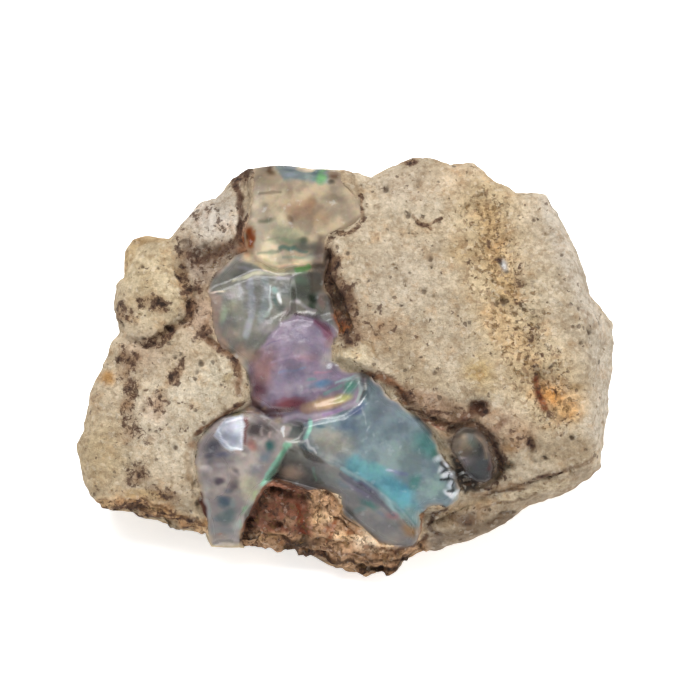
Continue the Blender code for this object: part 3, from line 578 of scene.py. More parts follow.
# Washes: kind ("spot", "line" or "area"), its point or points, its size, its colour and its strength.
# A spot's size is its two radii, and a third number after its point turns it, in degrees; a line's is half
# its width; an area's is how soft its edge is. A table of amounts has one amount instead of the last two.
OPAL_WASHES = (
    # buff potch
    ("area", ((-10.5, 22.0), (-10.8, 10.5), (-7.0, 8.5), (-2.0, 9.0), (1.5, 14.0), (0.5, 22.0)), 0.5,
     "#C6B294", 1.0),
    ("line", ((-9.7, 17.6), (-9.4, 14.6), (-8.7, 12.2), (-7.2, 10.6)), 1.6, "#DECDAF", 0.9),
    ("spot", (-7.2, 14.0), (1.4, 1.6), "#D6CAA8", 0.6),
    ("spot", (-4.9, 15.6), (1.7, 1.1), "#AA876C", 0.8),
    ("spot", (-3.9, 16.2), (0.5, 0.9), "#A27E62", 0.7),
    ("spot", (-5.8, 14.7), (0.45, 0.4), "#8E7058", 0.75),
    ("spot", (-3.2, 14.8), (1.3, 1.0), "#A88D70", 0.75),
    ("spot", (-5.9, 17.2), (0.5, 0.4), "#A48E74", 0.6),
    ("spot", (-1.6, 16.6), (1.2, 0.5), "#A18E74", 0.7),
    ("spot", (-0.1, 14.9), (1.0, 1.0), "#9A8B79", 0.8),
    ("spot", (-1.2, 18.0), (1.4, 0.7), "#B8A68C", 0.8),
    ("spot", (-8.3, 14.5), (0.8, 0.3), "#88866E", 0.8),
    ("spot", (-8.4, 15.9), (0.6, 0.3), "#A39A80", 0.7),
    ("line", ((-9.2, 16.9), (-7.0, 17.1)), 0.22, "#92836A", 0.65),
    ("spot", (-5.9, 13.2), (1.9, 0.7), "#B0B892", 0.6),
    ("spot", (-6.1, 12.4, 4), (1.5, 0.35), "#94AA84", 0.65),
    ("line", ((-8.4, 12.4), (-7.0, 12.6)), 0.16, "#A6AC8A", 0.6),
    ("line", ((-9.0, 10.9), (-7.2, 11.4), (-5.2, 11.9)), 0.24, "#8C957C", 0.75),
    ("line", ((-6.9, 11.7), (-5.4, 11.9), (-4.2, 11.4)), 0.28, "#73907E", 0.85),
    ("line", ((-6.7, 10.9), (-5.4, 11.0), (-4.4, 10.8)), 0.2, "#A0AF94", 0.7),
    ("line", ((-8.2, 10.4), (-6.2, 10.2), (-5.0, 10.4)), 0.25, "#B0A882", 0.7),
    ("spot", (-4.4, 12.6), (0.55, 0.45), "#5C6554", 0.9),
    ("spot", (-4.5, 12.0), (0.9, 0.6), "#6A6E64", 0.85),
    ("spot", (-3.3, 11.8), (0.8, 0.9), "#7C776B", 0.85),
    ("spot", (-3.6, 10.8), (1.0, 0.6), "#85887A", 0.75),
    ("area", ((-3.0, 13.2), (-1.8, 12.9), (-2.0, 8.0), (-3.2, 7.2), (-3.6, 9.4)), 0.3, "#857263", 0.85),
    ("line", ((-8.6, 9.6), (-6.6, 9.8), (-5.2, 10.0)), 0.5, "#E4C49C", 0.85),
    ("spot", (-5.8, 9.9), (1.2, 0.3), "#E6BEA0", 0.8),
    ("spot", (-4.6, 9.2), (0.9, 0.4), "#75A07A", 0.8),
    ("line", ((-5.3, 9.3), (-4.4, 9.6), (-3.8, 9.95)), 0.3, "#80BC6E", 0.95),
    # iron stain where the joint meets the potch
    ("spot", (-10.0, 12.9), (0.8, 1.3), "#B48E66", 0.7),
    ("spot", (-10.1, 13.3), (0.5, 0.6), "#A4501C", 0.95),
    ("spot", (-9.7, 12.6, 70), (0.7, 0.4), "#AC5A24", 0.9),
    ("spot", (-10.0, 11.9), (0.5, 0.4), "#984A1C", 0.9),
    ("spot", (-10.4, 12.6), (0.2, 0.4), "#6E3414", 0.85),
    ("spot", (-10.0, 12.7), (0.4, 0.8), "#9E4C1E", 0.85),
    ("spot", (-9.5, 13.4), (0.25, 0.2), "#C08048", 0.8),
    ("spot", (-9.7, 11.7), (0.3, 0.2), "#BC8654", 0.7),
    ("spot", (-10.2, 11.2), (0.5, 0.4), "#A67C58", 0.7),
    # top edge and the glassy sliver on it
    ("spot", (-9.4, 18.6), (1.3, 1.3), "#94846E", 0.85),
    ("spot", (-9.2, 19.2, 5), (1.5, 0.4), "#6E5C4A", 0.8),
    ("spot", (-7.9, 18.5), (0.7, 0.8), "#C6AF8E", 0.7),
    ("spot", (-8.2, 19.2), (0.7, 0.5), "#6A4524", 0.9),
    ("spot", (-9.6, 19.3), (0.7, 0.4), "#8C7A66", 0.7),
    ("area", ((-7.4, 21.0), (-7.1, 19.0), (-6.7, 18.1), (-4.9, 18.3), (-3.6, 18.5), (-2.4, 18.2),
              (-2.2, 19.0), (-2.1, 21.0)), 0.35, "#98A29C", 1.0),
    ("line", ((-7.0, 19.8), (-4.6, 19.6), (-3.2, 19.4)), 0.3, "#687C82", 0.7),
    ("spot", (-5.9, 19.0), (0.9, 0.45), "#A6B1B8", 0.7),
    ("spot", (-3.5, 19.0), (0.6, 0.4), "#75988A", 0.7),
    ("spot", (-3.0, 18.9), (0.5, 0.7), "#86C07E", 0.95),
    ("spot", (-1.7, 19.0), (0.7, 0.6), "#8C6A54", 0.9),
    ("spot", (-2.1, 18.3), (0.4, 0.25), "#645C4A", 0.8),
    # clear window
    ("area", ((-14.6, 8.0), (-12.0, 10.8), (-9.9, 10.2), (-8.4, 9.5), (-5.5, 9.1), (-2.6, 9.3), (-1.8, 6.0),
              (-3.0, 4.4), (-7.5, 3.6), (-10.4, -0.4), (-13.8, 2.5)), 0.25, "#7A7973", 1.0),
    ("area", ((-13.4, 7.9), (-12.4, 9.6), (-11.2, 10.4), (-9.8, 9.9), (-8.4, 9.4), (-9.8, 9.0), (-11.0, 8.6),
              (-11.7, 7.9)), 0.15, "#6F6E69", 0.95),
    ("spot", (-11.6, 9.2), (0.7, 0.4), "#605F5A", 0.7),
    ("spot", (-10.5, 9.6, -15), (0.9, 0.25), "#85868C", 0.7),
    # painted highlight along the window's top ridge
    ("line", ((-11.6, 8.5), (-9.6, 9.0), (-7.6, 9.25), (-5.6, 9.3)), 0.28, "#B9B7A4", 0.85),
    ("line", ((-13.9, 7.3), (-12.6, 7.5)), 0.16, "#D2C2B0", 0.85),
    ("line", ((-7.2, 8.9), (-5.6, 8.6)), 0.3, "#85808C", 0.75),
    ("area", ((-15.0, 7.8), (-13.0, 7.0), (-12.7, 5.6), (-12.9, 3.6), (-12.0, 1.6), (-13.8, 1.6),
              (-15.0, 5.0)), 0.3, "#A58B7B", 0.9),
    ("spot", (-12.0, 7.0), (0.9, 0.5), "#9E979A", 0.7),
    ("spot", (-12.0, 5.6), (0.9, 0.9), "#8A8A78", 0.85),
    ("spot", (-12.6, 4.8), (0.4, 0.9), "#9CAA88", 0.8),
    ("spot", (-11.7, 3.0), (1.0, 0.9), "#9C9082", 0.75),
    ("spot", (-10.6, 1.3), (1.0, 1.0), "#957E70", 0.85),
    ("line", ((-9.9, 8.4), (-9.8, 5.4), (-10.1, 3.0)), 0.45, "#9498A0", 0.8),
    ("line", ((-10.9, 8.0), (-10.9, 6.4)), 0.3, "#9A9AA2", 0.6),
    ("line", ((-8.3, 8.5), (-8.5, 6.8), (-8.9, 4.6)), 0.5, "#868F91", 0.85),
    ("line", ((-7.9, 7.9), (-8.1, 6.0), (-8.5, 4.8)), 0.16, "#AEBABA", 0.8),
    ("spot", (-8.4, 3.9), (0.9, 0.7), "#9F999C", 0.7),
    ("spot", (-6.3, 7.4), (0.7, 0.6), "#747A7A", 0.75),
    ("spot", (-7.4, 7.6), (0.45, 0.35), "#5A8E84", 0.9),
    ("spot", (-7.5, 6.7), (0.28, 0.6), "#4B6664", 0.85),
    ("spot", (-7.1, 5.9), (0.7, 0.5), "#4C5351", 0.85),
    # a painted glint
    ("spot", (-6.95, 6.9, 8), (0.2, 0.5), "#F2F8F8", 1.0),
    ("spot", (-4.6, 7.6), (1.6, 1.6), "#61665A", 0.9),
    ("spot", (-4.9, 8.4), (0.7, 0.5), "#6C806C", 0.75),
    ("area", ((-3.9, 9.4), (-2.4, 9.2), (-2.4, 7.4), (-3.9, 7.2)), 0.25, "#5F5546", 0.85),
    ("spot", (-3.75, 6.6), (0.5, 0.65), "#26391F", 0.95),
    ("spot", (-4.0, 5.8), (0.4, 0.35), "#314B34", 0.85),
    ("spot", (-2.7, 6.4), (0.5, 0.9), "#9C827A", 0.75),
    ("spot", (-5.7, 8.0), (0.22, 0.35), "#A8ABA6", 0.7),
    ("spot", (-6.2, 5.4), (0.9, 0.5), "#776C6C", 0.8),
    # pale strokes above the lens's top edge: painted highlight
    ("line", ((-5.8, 6.3), (-5.0, 6.1), (-4.4, 5.6), (-3.8, 5.3)), 0.22, "#A49EA4", 0.7),
    ("spot", (-5.2, 6.2), (0.3, 0.2), "#C8C6C8", 0.7),
    # purple lens
    ("area", ((-10.2, -3.4), (-10.2, -0.6), (-9.0, 1.8), (-7.0, 4.4), (-5.2, 5.0), (-3.4, 4.8), (-1.2, 2.9),
              (-1.4, 0.6), (-0.2, -0.3), (1.5, -1.6), (1.0, -3.3), (-0.8, -4.6), (-4.6, -5.8), (-8.6, -5.4)),
     0.3, "#8A7C90", 1.0),
    ("spot", (-5.0, 2.6, 20), (2.4, 1.2), "#92849A", 0.7),
    ("spot", (-4.9, 1.6), (0.9, 0.7), "#A0929A", 0.6),
    ("spot", (-8.6, -0.6, 70), (2.6, 1.3), "#93706F", 0.9),
    ("spot", (-9.4, 0.9, 60), (1.2, 0.6), "#866960", 0.75),
    ("spot", (-4.3, 0.6), (1.6, 0.5), "#A3848E", 0.6),
    ("spot", (-2.2, 0.5), (0.9, 1.0), "#9A9596", 0.8),
    ("line", ((-7.6, 0.3), (-6.4, 0.5), (-5.2, 0.7)), 0.22, "#A496AC", 0.35),
    ("line", ((-8.2, 2.1), (-6.8, 2.6)), 0.14, "#766688", 0.6),
    ("line", ((-5.8, 3.5), (-4.8, 3.8), (-3.8, 3.8)), 0.14, "#A698B0", 0.6),
    ("line", ((-7.0, -0.8), (-5.6, -0.7), (-4.6, -0.4)), 0.16, "#7486A6", 0.65),
    ("line", ((-3.8, -0.9), (-2.6, -0.8), (-1.8, -0.5)), 0.14, "#AA7A8C", 0.6),
    ("line", ((-4.8, -2.5), (-3.6, -2.6), (-2.6, -2.4)), 0.18, "#AC9CAC", 0.4),
    ("line", ((-2.6, -2.7), (-1.6, -2.5), (-0.8, -2.1)), 0.17, "#6E9C94", 0.6),
    ("spot", (-5.9, -1.2), (1.8, 0.9), "#7D788E", 0.7),
    ("spot", (-5.2, -2.2), (1.4, 0.5), "#9B95A2", 0.6),
    ("line", ((-8.0, -2.6), (-6.4, -2.5), (-5.0, -2.7)), 0.18, "#928A9A", 0.45),
    ("line", ((-7.6, -3.2), (-5.6, -3.1), (-4.4, -3.0)), 0.14, "#8A6C80", 0.6),
    # painted shadow in the step between the dark notch and the lens, then a painted highlight along the
    # lens's top edge
    ("line", ((-5.3, 5.0), (-4.2, 4.95), (-3.4, 4.6)), 0.24, "#3C2436", 0.95),
    ("line", ((-5.2, 5.3), (-4.4, 5.25), (-3.8, 5.1)), 0.13, "#E0DADE", 0.7),
    ("line", ((-3.2, 4.2), (-2.6, 3.4), (-2.2, 2.6)), 0.45, "#7C4A60", 0.85),
    ("spot", (-2.0, 2.3), (0.6, 0.5), "#AC868A", 0.7),
    ("spot", (-9.0, -2.3), (0.8, 0.7), "#704450", 0.9),
    ("spot", (-6.0, -3.7, 4), (2.2, 0.7), "#7A3E48", 0.95),
    ("spot", (-6.6, -4.3), (1.6, 0.35), "#6E3A34", 0.8),
    ("line", ((-4.6, -4.2), (-3.2, -3.8), (-1.2, -3.3)), 0.8, "#A8886E", 0.75),
    ("spot", (-2.4, -3.5, 12), (1.9, 0.6), "#B89C7C", 0.8),
    ("spot", (-0.7, -3.1, 20), (0.9, 0.4), "#B4B676", 0.85),
    ("spot", (-3.0, -2.0, 10), (1.2, 0.45), "#5C80A0", 0.9),
    ("spot", (-4.0, -1.5), (0.4, 0.2), "#568E8C", 0.7),
    ("spot", (0.2, -2.1, 30), (1.0, 0.6), "#578E7E", 0.95),
    ("line", ((-1.6, -2.0), (-0.4, -1.5), (0.6, -1.2)), 0.2, "#9EBABE", 0.7),
    ("spot", (-1.2, -1.2), (1.0, 0.3), "#94849E", 0.7),
    ("line", ((-6.6, -5.3), (-4.2, -5.0), (-1.4, -4.5), (0.4, -3.6)), 0.5, "#AEA2B0", 0.95),
    ("line", ((-2.6, -4.7), (-1.0, -4.3)), 0.3, "#A286B0", 0.8),
    ("line", ((0.5, -3.5), (1.2, -2.6), (1.0, -1.4)), 0.3, "#9CAAA8", 0.9),
    # two painted highlights
    ("spot", (-1.8, 0.0), (0.3, 0.25), "#F0F0F6", 1.0),
    ("spot", (-1.0, 0.1), (0.2, 0.16), "#F4F4FA", 1.0),
    # rusty joint between the lens and the tooth
    ("spot", (-10.1, -2.6), (0.4, 0.9), "#86604A", 0.7),
    ("spot", (-9.6, -3.6, 50), (0.9, 0.6), "#80503A", 0.7),
    ("spot", (-8.7, -4.5), (1.0, 0.6), "#7C4A34", 0.7),
    ("spot", (-10.0, -4.5), (0.5, 0.4), "#A68468", 0.75),
    ("spot", (-9.3, -4.0, 70), (0.22, 0.5), "#4A2814", 0.8),
    ("spot", (-8.3, -5.0, 10), (0.4, 0.2), "#3E2212", 0.8),
    ("spot", (-9.9, -3.2, -40), (0.4, 0.2), "#52301C", 0.8),
    ("spot", (-8.7, -4.1, 20), (0.35, 0.14), "#C8A484", 0.8),
    ("spot", (-9.4, -4.9), (0.4, 0.25), "#B08C70", 0.75),
    ("spot", (-7.4, -4.9), (0.7, 0.3), "#6A3A2C", 0.75),
    ("spot", (-7.2, -5.4), (0.5, 0.35), "#AA967F", 0.7),
    # blue panel
    ("area", ((-5.0, -7.9), (-4.7, -5.8), (0.6, -4.1), (1.8, -2.4), (1.6, -0.4), (4.4, -2.8), (10.0, -8.6),
              (11.8, -12.2), (9.6, -14.8), (6.9, -14.8), (6.5, -16.8), (4.4, -13.9), (1.8, -11.9),
              (-1.1, -10.1), (-4.1, -8.9)), 0.2, "#7A8C94", 1.0),
    ("spot", (3.6, -3.6), (1.6, 1.8), "#727B86", 0.85),
    ("spot", (-2.0, -7.7, -15), (2.6, 1.7), "#97958C", 0.95),
    ("spot", (-2.4, -9.0), (1.0, 0.6), "#989A98", 0.6),
    ("spot", (5.4, -8.9), (2.6, 1.6), "#80928E", 0.6),
    ("spot", (5.6, -6.6), (2.4, 1.2), "#768690", 0.7),
    ("spot", (7.8, -8.0, -40), (1.9, 1.2), "#528484", 0.95),
    ("spot", (8.5, -9.0), (0.6, 0.7), "#3E7068", 0.9),
    ("line", ((0.6, -10.2), (2.4, -11.2), (4.2, -12.6), (6.2, -14.6)), 1.6, "#5E96A2", 0.9),
    ("spot", (4.9, -12.3, -35), (2.0, 1.0), "#5796A8", 0.95),
    ("spot", (2.6, -10.2, -20), (1.8, 0.6), "#62999E", 0.8),
    ("spot", (6.4, -11.6), (0.7, 0.9), "#4F8C86", 0.8),
    ("spot", (8.4, -12.2), (1.5, 1.4), "#78918F", 0.85),
    ("spot", (6.2, -14.9), (1.0, 1.2), "#86A09C", 0.8),
    ("spot", (0.7, -4.6, 30), (1.1, 0.6), "#56628A", 0.85),
    ("spot", (-0.3, -6.1), (1.2, 0.7), "#63758A", 0.8),
    ("spot", (-3.0, -5.9), (0.6, 0.25), "#4E6A78", 0.8),
    ("line", ((4.0, -10.5), (5.6, -10.7)), 0.35, "#7880A0", 0.7),
    ("spot", (4.0, -10.5), (0.4, 0.12), "#B4BCCA", 0.6),
    ("line", ((1.3, -4.4), (1.6, -5.2), (1.7, -6.0)), 0.12, "#A4B0B6", 0.5),
    ("spot", (1.9, -6.4, 60), (0.35, 0.12), "#A8B4BA", 0.55),
    ("spot", (2.3, -7.0, 80), (0.2, 0.1), "#A8B4BA", 0.5),
    ("line", ((0.8, -4.0), (1.6, -3.3)), 0.15, "#DCE0E2", 0.8),
    ("line", ((5.4, -3.6), (7.0, -5.0), (8.4, -6.4)), 0.3, "#8A7E86", 0.7),
    ("line", ((7.6, -5.7), (8.6, -6.9), (9.2, -7.7)), 0.16, "#C4B29C", 0.8),
    # a painted highlight along the crease between panel and wedge, then painted shadow along the wedge's top
    # edge
    ("line", ((-0.8, -10.3), (1.4, -11.4), (3.4, -12.9), (5.2, -14.9), (6.2, -16.1)), 0.24, "#7EA4AA", 0.8),
    ("line", ((-1.0, -10.8), (0.8, -11.7), (2.8, -13.1), (4.6, -14.9)), 0.34, "#565A6A", 0.8),
    # silver glitter on near-black at the panel's right tip: its bright crinkles are painted glints
    ("area", ((8.9, -9.2), (9.9, -9.0), (12.0, -11.2), (11.6, -12.8), (10.2, -12.8), (9.4, -11.4),
              (8.7, -10.6)), 0.2, "#3A3E42", 0.9),
    ("spot", (8.9, -9.3, 20), (0.8, 0.35), "#D2DCE0", 0.95),
    ("spot", (9.5, -9.9, -50), (0.7, 0.26), "#E8F0F4", 0.95),
    ("spot", (8.9, -10.3, 60), (0.5, 0.3), "#C2CCD2", 0.9),
    ("spot", (9.6, -10.9, 10), (0.7, 0.3), "#E4ECF0", 0.95),
    ("spot", (10.4, -10.8, 70), (0.6, 0.25), "#C8D2D8", 0.95),
    ("spot", (10.8, -11.4, -20), (0.4, 0.25), "#E4ECF0", 0.95),
    ("spot", (9.9, -11.8, 80), (0.8, 0.4), "#C4CED4", 0.9),
    ("spot", (10.4, -12.5, 30), (0.7, 0.35), "#E0E8EC", 0.95),
    ("spot", (9.8, -12.9, -30), (0.6, 0.3), "#E8EEF2", 0.9),
    ("line", ((8.8, -9.8), (9.6, -10.3), (10.4, -10.2)), 0.16, "#1E2226", 0.95),
    ("line", ((8.9, -11.3), (9.8, -11.3), (10.4, -11.6), (11.2, -11.9)), 0.16, "#1E2226", 0.95),
    ("line", ((10.0, -9.4), (10.1, -10.4), (9.7, -11.2)), 0.14, "#2A2E32", 0.9),
    ("line", ((10.2, -11.2), (10.1, -12.2), (9.6, -12.6)), 0.14, "#2A2E32", 0.9),
    # wedge
    ("area", ((-7.2, -7.4), (-5.0, -8.2), (-1.4, -10.3), (0.6, -11.4), (3.2, -13.3), (5.0, -15.4),
              (6.6, -17.4), (6.4, -18.6), (3.0, -18.6), (-0.9, -15.2), (-2.5, -13.2), (-8.4, -11.8)), 0.16,
     "#7A7776", 1.0),
    ("spot", (-5.2, -9.2, -20), (1.5, 0.8), "#7A7970", 0.9),
    ("spot", (-6.0, -10.7), (1.4, 0.8), "#AA968A", 0.9),
    ("spot", (-2.4, -11.3, -15), (1.6, 0.9), "#747C78", 0.9),
    ("line", ((-3.7, -10.2), (-3.4, -11.6)), 0.22, "#7A9688", 0.75),
    ("spot", (1.4, -12.4, -35), (2.0, 0.8), "#6A6282", 0.9),
    ("spot", (-0.6, -11.9, -30), (0.9, 0.4), "#5E7280", 0.75),
    ("spot", (-0.2, -13.0), (1.1, 0.8), "#7C7B7A", 0.8),
    ("spot", (1.9, -13.7, -30), (1.1, 0.6), "#2E706C", 0.95),
    ("spot", (1.0, -14.3), (0.6, 0.4), "#567A78", 0.8),
    ("spot", (3.0, -14.9, -30), (0.8, 0.35), "#646E80", 0.8),
    ("spot", (1.2, -15.2), (1.4, 0.8), "#757274", 0.8),
    ("spot", (3.2, -16.2), (1.5, 0.9), "#717074", 0.8),
    ("spot", (4.3, -14.9), (0.9, 0.6), "#8C6068", 0.9),
    ("spot", (5.3, -15.6), (0.6, 0.5), "#846E5E", 0.8),
    ("spot", (5.9, -16.6), (0.9, 0.8), "#8E6428", 0.95),
    ("spot", (4.6, -17.6), (1.3, 0.5), "#857A72", 0.8),
    # painted shadow along the wedge's top edge
    ("line", ((-0.9, -10.9), (0.8, -11.8), (2.8, -13.2), (4.4, -14.8)), 0.3, "#545666", 0.8),
    # tooth
    ("area", ((-16.0, -9.5), (-15.6, -7.0), (-12.8, -4.8), (-9.4, -4.8), (-5.4, -6.4), (-6.4, -8.8),
              (-8.6, -12.0), (-10.3, -14.9), (-10.8, -20.0), (-14.3, -20.0), (-15.4, -13.5)), 0.18,
     "#A09693", 1.0),
    ("spot", (-14.0, -8.8, 30), (0.5, 0.3), "#4E5060", 0.8),
    ("spot", (-12.9, -9.9), (0.5, 0.3), "#B2AEAE", 0.7),
    ("spot", (-11.4, -10.4, -30), (0.6, 0.3), "#5E585E", 0.7),
    ("spot", (-12.2, -12.6), (0.6, 0.4), "#6A6C78", 0.75),
    ("spot", (-11.0, -9.0, 40), (0.5, 0.25), "#BAB6B0", 0.7),
    ("spot", (-14.4, -12.4), (0.4, 0.8), "#BEB8B2", 0.7),
    ("spot", (-11.3, -16.0), (0.35, 0.5), "#9EA8A6", 0.7),
    ("spot", (-10.6, -8.4), (0.5, 0.5), "#6E6A70", 0.7),
    ("line", ((-15.2, -9.0), (-14.9, -10.6), (-14.6, -12.4)), 0.4, "#ACA49C", 0.75),
    ("line", ((-15.8, -8.6), (-15.7, -10.2), (-15.1, -12.2)), 0.22, "#6C6250", 0.8),
    ("spot", (-13.6, -8.0), (1.0, 0.7), "#595A66", 0.9),
    ("spot", (-12.6, -8.8), (1.0, 0.4), "#666880", 0.85),
    ("spot", (-13.8, -9.3), (0.5, 0.6), "#757379", 0.7),
    ("spot", (-14.3, -10.4), (0.6, 0.5), "#C2B8B8", 0.8),
    ("spot", (-11.8, -9.3), (1.6, 0.6), "#847F80", 0.7),
    ("spot", (-13.1, -11.6), (0.6, 0.4), "#4C4250", 0.9),
    ("spot", (-11.6, -11.8), (0.7, 0.9), "#645A5E", 0.8),
    ("spot", (-10.2, -12.0), (0.9, 1.4), "#B4B098", 0.85),
    ("spot", (-9.5, -10.4), (0.9, 0.7), "#98979A", 0.7),
    ("spot", (-12.6, -13.6), (0.9, 0.5), "#4C667A", 0.9),
    ("spot", (-12.2, -14.9), (1.2, 1.0), "#5E7478", 0.85),
    ("spot", (-11.6, -13.8), (0.4, 0.5), "#8E9C9C", 0.7),
    ("spot", (-13.2, -15.2), (0.5, 0.4), "#687A80", 0.7),
    ("spot", (-12.6, -16.4), (1.6, 0.7), "#85888A", 0.8),
    ("spot", (-12.9, -17.2), (0.9, 0.5), "#8A7C70", 0.8),
    ("spot", (-13.0, -16.9), (0.3, 0.2), "#A26C5A", 0.75),
    ("spot", (-12.4, -17.9), (1.5, 0.3), "#68625A", 0.8),
    ("line", ((-14.3, -13.6), (-14.1, -15.0), (-14.0, -16.6)), 0.28, "#AEB2AE", 0.7),
    # dark red-brown in the gap at the tooth's left foot, darkened as painted shade
    ("line", ((-15.1, -13.2), (-14.8, -14.0), (-14.55, -15.2)), 0.34, "#46100A", 0.95),
    # the milky shard: pale, partly as a painted reflection
    ("area", MILKY_SHARD_WITH_PAINTED_GLARE, 0.12, "#C2C6D0", 0.95),
    # painted shade on the shard's lower left
    ("spot", (-12.1, -7.1), (0.6, 0.45), "#A2A6B2", 0.8),
    ("spot", (-11.2, -7.3), (0.3, 0.5), "#A9ABB8", 0.7),
    # painted highlights on the shard's top and edges
    ("spot", (-11.1, -6.1), (0.8, 0.6), "#DADDE6", 0.8),
    ("line", ((-12.1, -5.6), (-11.2, -5.5), (-10.5, -5.4)), 0.18, "#F2F4FA", 0.85),
    ("line", ((-13.0, -6.5), (-12.5, -7.3), (-11.8, -8.2), (-11.0, -8.2)), 0.16, "#EEF0F8", 0.85),
    ("line", ((-10.5, -5.8), (-10.8, -7.4)), 0.14, "#E6E8F0", 0.7),
    ("spot", (-11.0, -4.9), (0.9, 0.3), "#A2946E", 0.8),
    # dark glassy block and its painted glints
    ("line", ((-10.1, -5.4), (-10.2, -6.4), (-10.4, -7.6)), 0.22, "#783F3E", 0.85),
    ("spot", (-9.3, -6.3), (0.9, 0.8), "#403438", 0.9),
    ("spot", (-8.2, -6.5), (1.0, 0.8), "#544A4A", 0.85),
    ("line", ((-8.9, -5.9), (-8.6, -6.9)), 0.14, "#9A8E8E", 0.7),
    ("spot", (-9.7, -7.8), (0.6, 0.7), "#A07068", 0.85),
    ("spot", (-7.8, -7.0), (0.2, 0.3), "#BCA2A0", 0.7),
    ("spot", (-6.65, -6.3), (0.17, 0.36), "#FAF6F2", 1.0),
    ("line", ((-6.6, -6.5), (-6.45, -7.1)), 0.12, "#E0D8D4", 0.85),
    ("area", ((-5.7, -6.0), (-4.7, -6.0), (-5.2, -7.0), (-6.3, -7.2)), 0.15, "#5B6262", 0.85),
    ("spot", (-7.8, -8.0), (0.6, 0.55), "#3C726E", 0.95),
    ("spot", (-8.5, -9.0, 40), (0.8, 0.6), "#7A8C98", 0.8),
    ("line", ((-4.0, -5.3), (-4.1, -6.2), (-4.5, -7.1)), 0.32, "#92C8B6", 0.85),
    ("line", ((-4.6, -6.2), (-5.1, -7.0), (-6.0, -7.5)), 0.14, "#AEB4B4", 0.8),
    ("line", ((-6.2, -7.6), (-5.2, -7.5), (-4.4, -7.3), (-4.1, -8.2), (-3.5, -9.0)), 0.18, "#C0C2C2", 0.85),
    # green flash along the tooth's edge
    ("line", ((-6.0, -8.0), (-7.0, -9.2), (-8.0, -10.7), (-8.7, -12.0)), 0.55, "#9CB0A2", 0.75),
    ("line", ((-8.7, -12.0), (-9.6, -13.2), (-10.3, -14.6)), 0.5, "#A0A896", 0.6),
    ("line", ((-6.1, -7.9), (-6.9, -8.9), (-7.5, -9.8)), 0.38, "#82C8A8", 0.8),
    ("line", ((-7.7, -10.2), (-8.7, -11.8)), 0.3, "#8CCAB2", 0.8),
    ("spot", (-9.5, -12.9, 55), (0.7, 0.25), "#A6B488", 0.7),
    ("spot", (-10.4, -14.6, 65), (0.6, 0.2), "#8EB894", 0.6),
    ("spot", (-11.0, -15.9, 75), (0.5, 0.18), "#7CB0A0", 0.45),
)

# How cloudy the opal is: 0 is glassy and 1 is chalky potch.
OPAL_MILK = (
    ("area", ((-11.5, 22.0), (-11.8, 11.5), (-7.0, 10.0), (-2.0, 10.8), (1.5, 14.0), (0.5, 22.0)), 0.6, 0.95),
    ("area", MILKY_SHARD_WITH_PAINTED_GLARE, 0.15, 0.9),
    ("spot", (-13.6, 4.6), (1.4, 3.0), 0.8),
    ("spot", (-9.2, -4.2, -25), (2.0, 0.8), 0.6),
    ("spot", (-13.8, -11.0), (1.6, 2.2), 0.35),
    ("line", ((-15.1, -13.2), (-14.5, -15.2)), 0.4, 0.9),
    ("spot", (-3.0, 8.0), (0.8, 2.4), 0.6),
)

# Where the rock's brown skin laps over the edge of the opal.
OPAL_SKIN = (
    ("line", SEAM_EDGE, 1.2, 0.5),
    ("line", SEAM_LEFT_EDGE, 1.2, 0.8),
    ("line", SEAM_RIGHT_EDGE, 1.2, 0.7),
    ("line", NODULE_EDGE, 1.2, 0.9),
)

NODULE_WASHES = (
    ("area", ((9.6, -9.0), (10.0, -6.6), (11.4, -5.6), (13.0, -5.6), (14.8, -8.0), (15.0, -12.0),
              (12.4, -12.4), (10.8, -11.0)), 0.3, "#5C5954", 1.0),
    ("line", NODULE_EDGE, 0.7, "#3A302A", 0.6),
    ("spot", (11.0, -7.4), (1.3, 1.4), "#85725C", 0.85),
    ("spot", (11.8, -6.7, -20), (0.9, 0.35), "#4E4438", 0.8),
    ("spot", (10.8, -8.0, 60), (0.5, 0.25), "#5A4E42", 0.8),
    ("spot", (11.4, -7.3), (0.35, 0.3), "#A0907A", 0.7),
    ("spot", (12.1, -7.7, -60), (0.9, 0.4), "#5A625C", 0.85),
    ("spot", (12.8, -8.4, 70), (0.9, 0.3), "#3E3E3C", 0.8),
    ("spot", (12.9, -10.0), (1.1, 1.3), "#585C5E", 0.9),
    ("spot", (12.4, -11.0), (0.8, 0.4), "#3E4042", 0.8),
    ("spot", (11.6, -9.4), (0.7, 0.6), "#6E666A", 0.75),
    ("spot", (11.2, -9.0), (0.3, 0.2), "#9A9294", 0.7),
    ("line", ((12.6, -6.8), (13.3, -7.9), (13.4, -9.2)), 0.3, "#8E7A68", 0.8),
    ("line", NODULE_RIM, 0.7, "#38201A", 0.95),
    ("line", ((13.8, -8.4), (14.0, -9.4), (13.8, -10.4)), 0.22, "#74443E", 0.7),
    # painted shadow along the nodule's lower left edge
    ("line", ((10.2, -9.2), (11.0, -10.2), (11.8, -11.4)), 0.3, "#2C2624", 0.85),
)
NODULE_MILK = (
    ("line", NODULE_EDGE, 0.9, 0.75),
    ("spot", (11.0, -7.2), (1.5, 1.3), 0.75),
    ("line", NODULE_RIM, 0.8, 0.9),
)

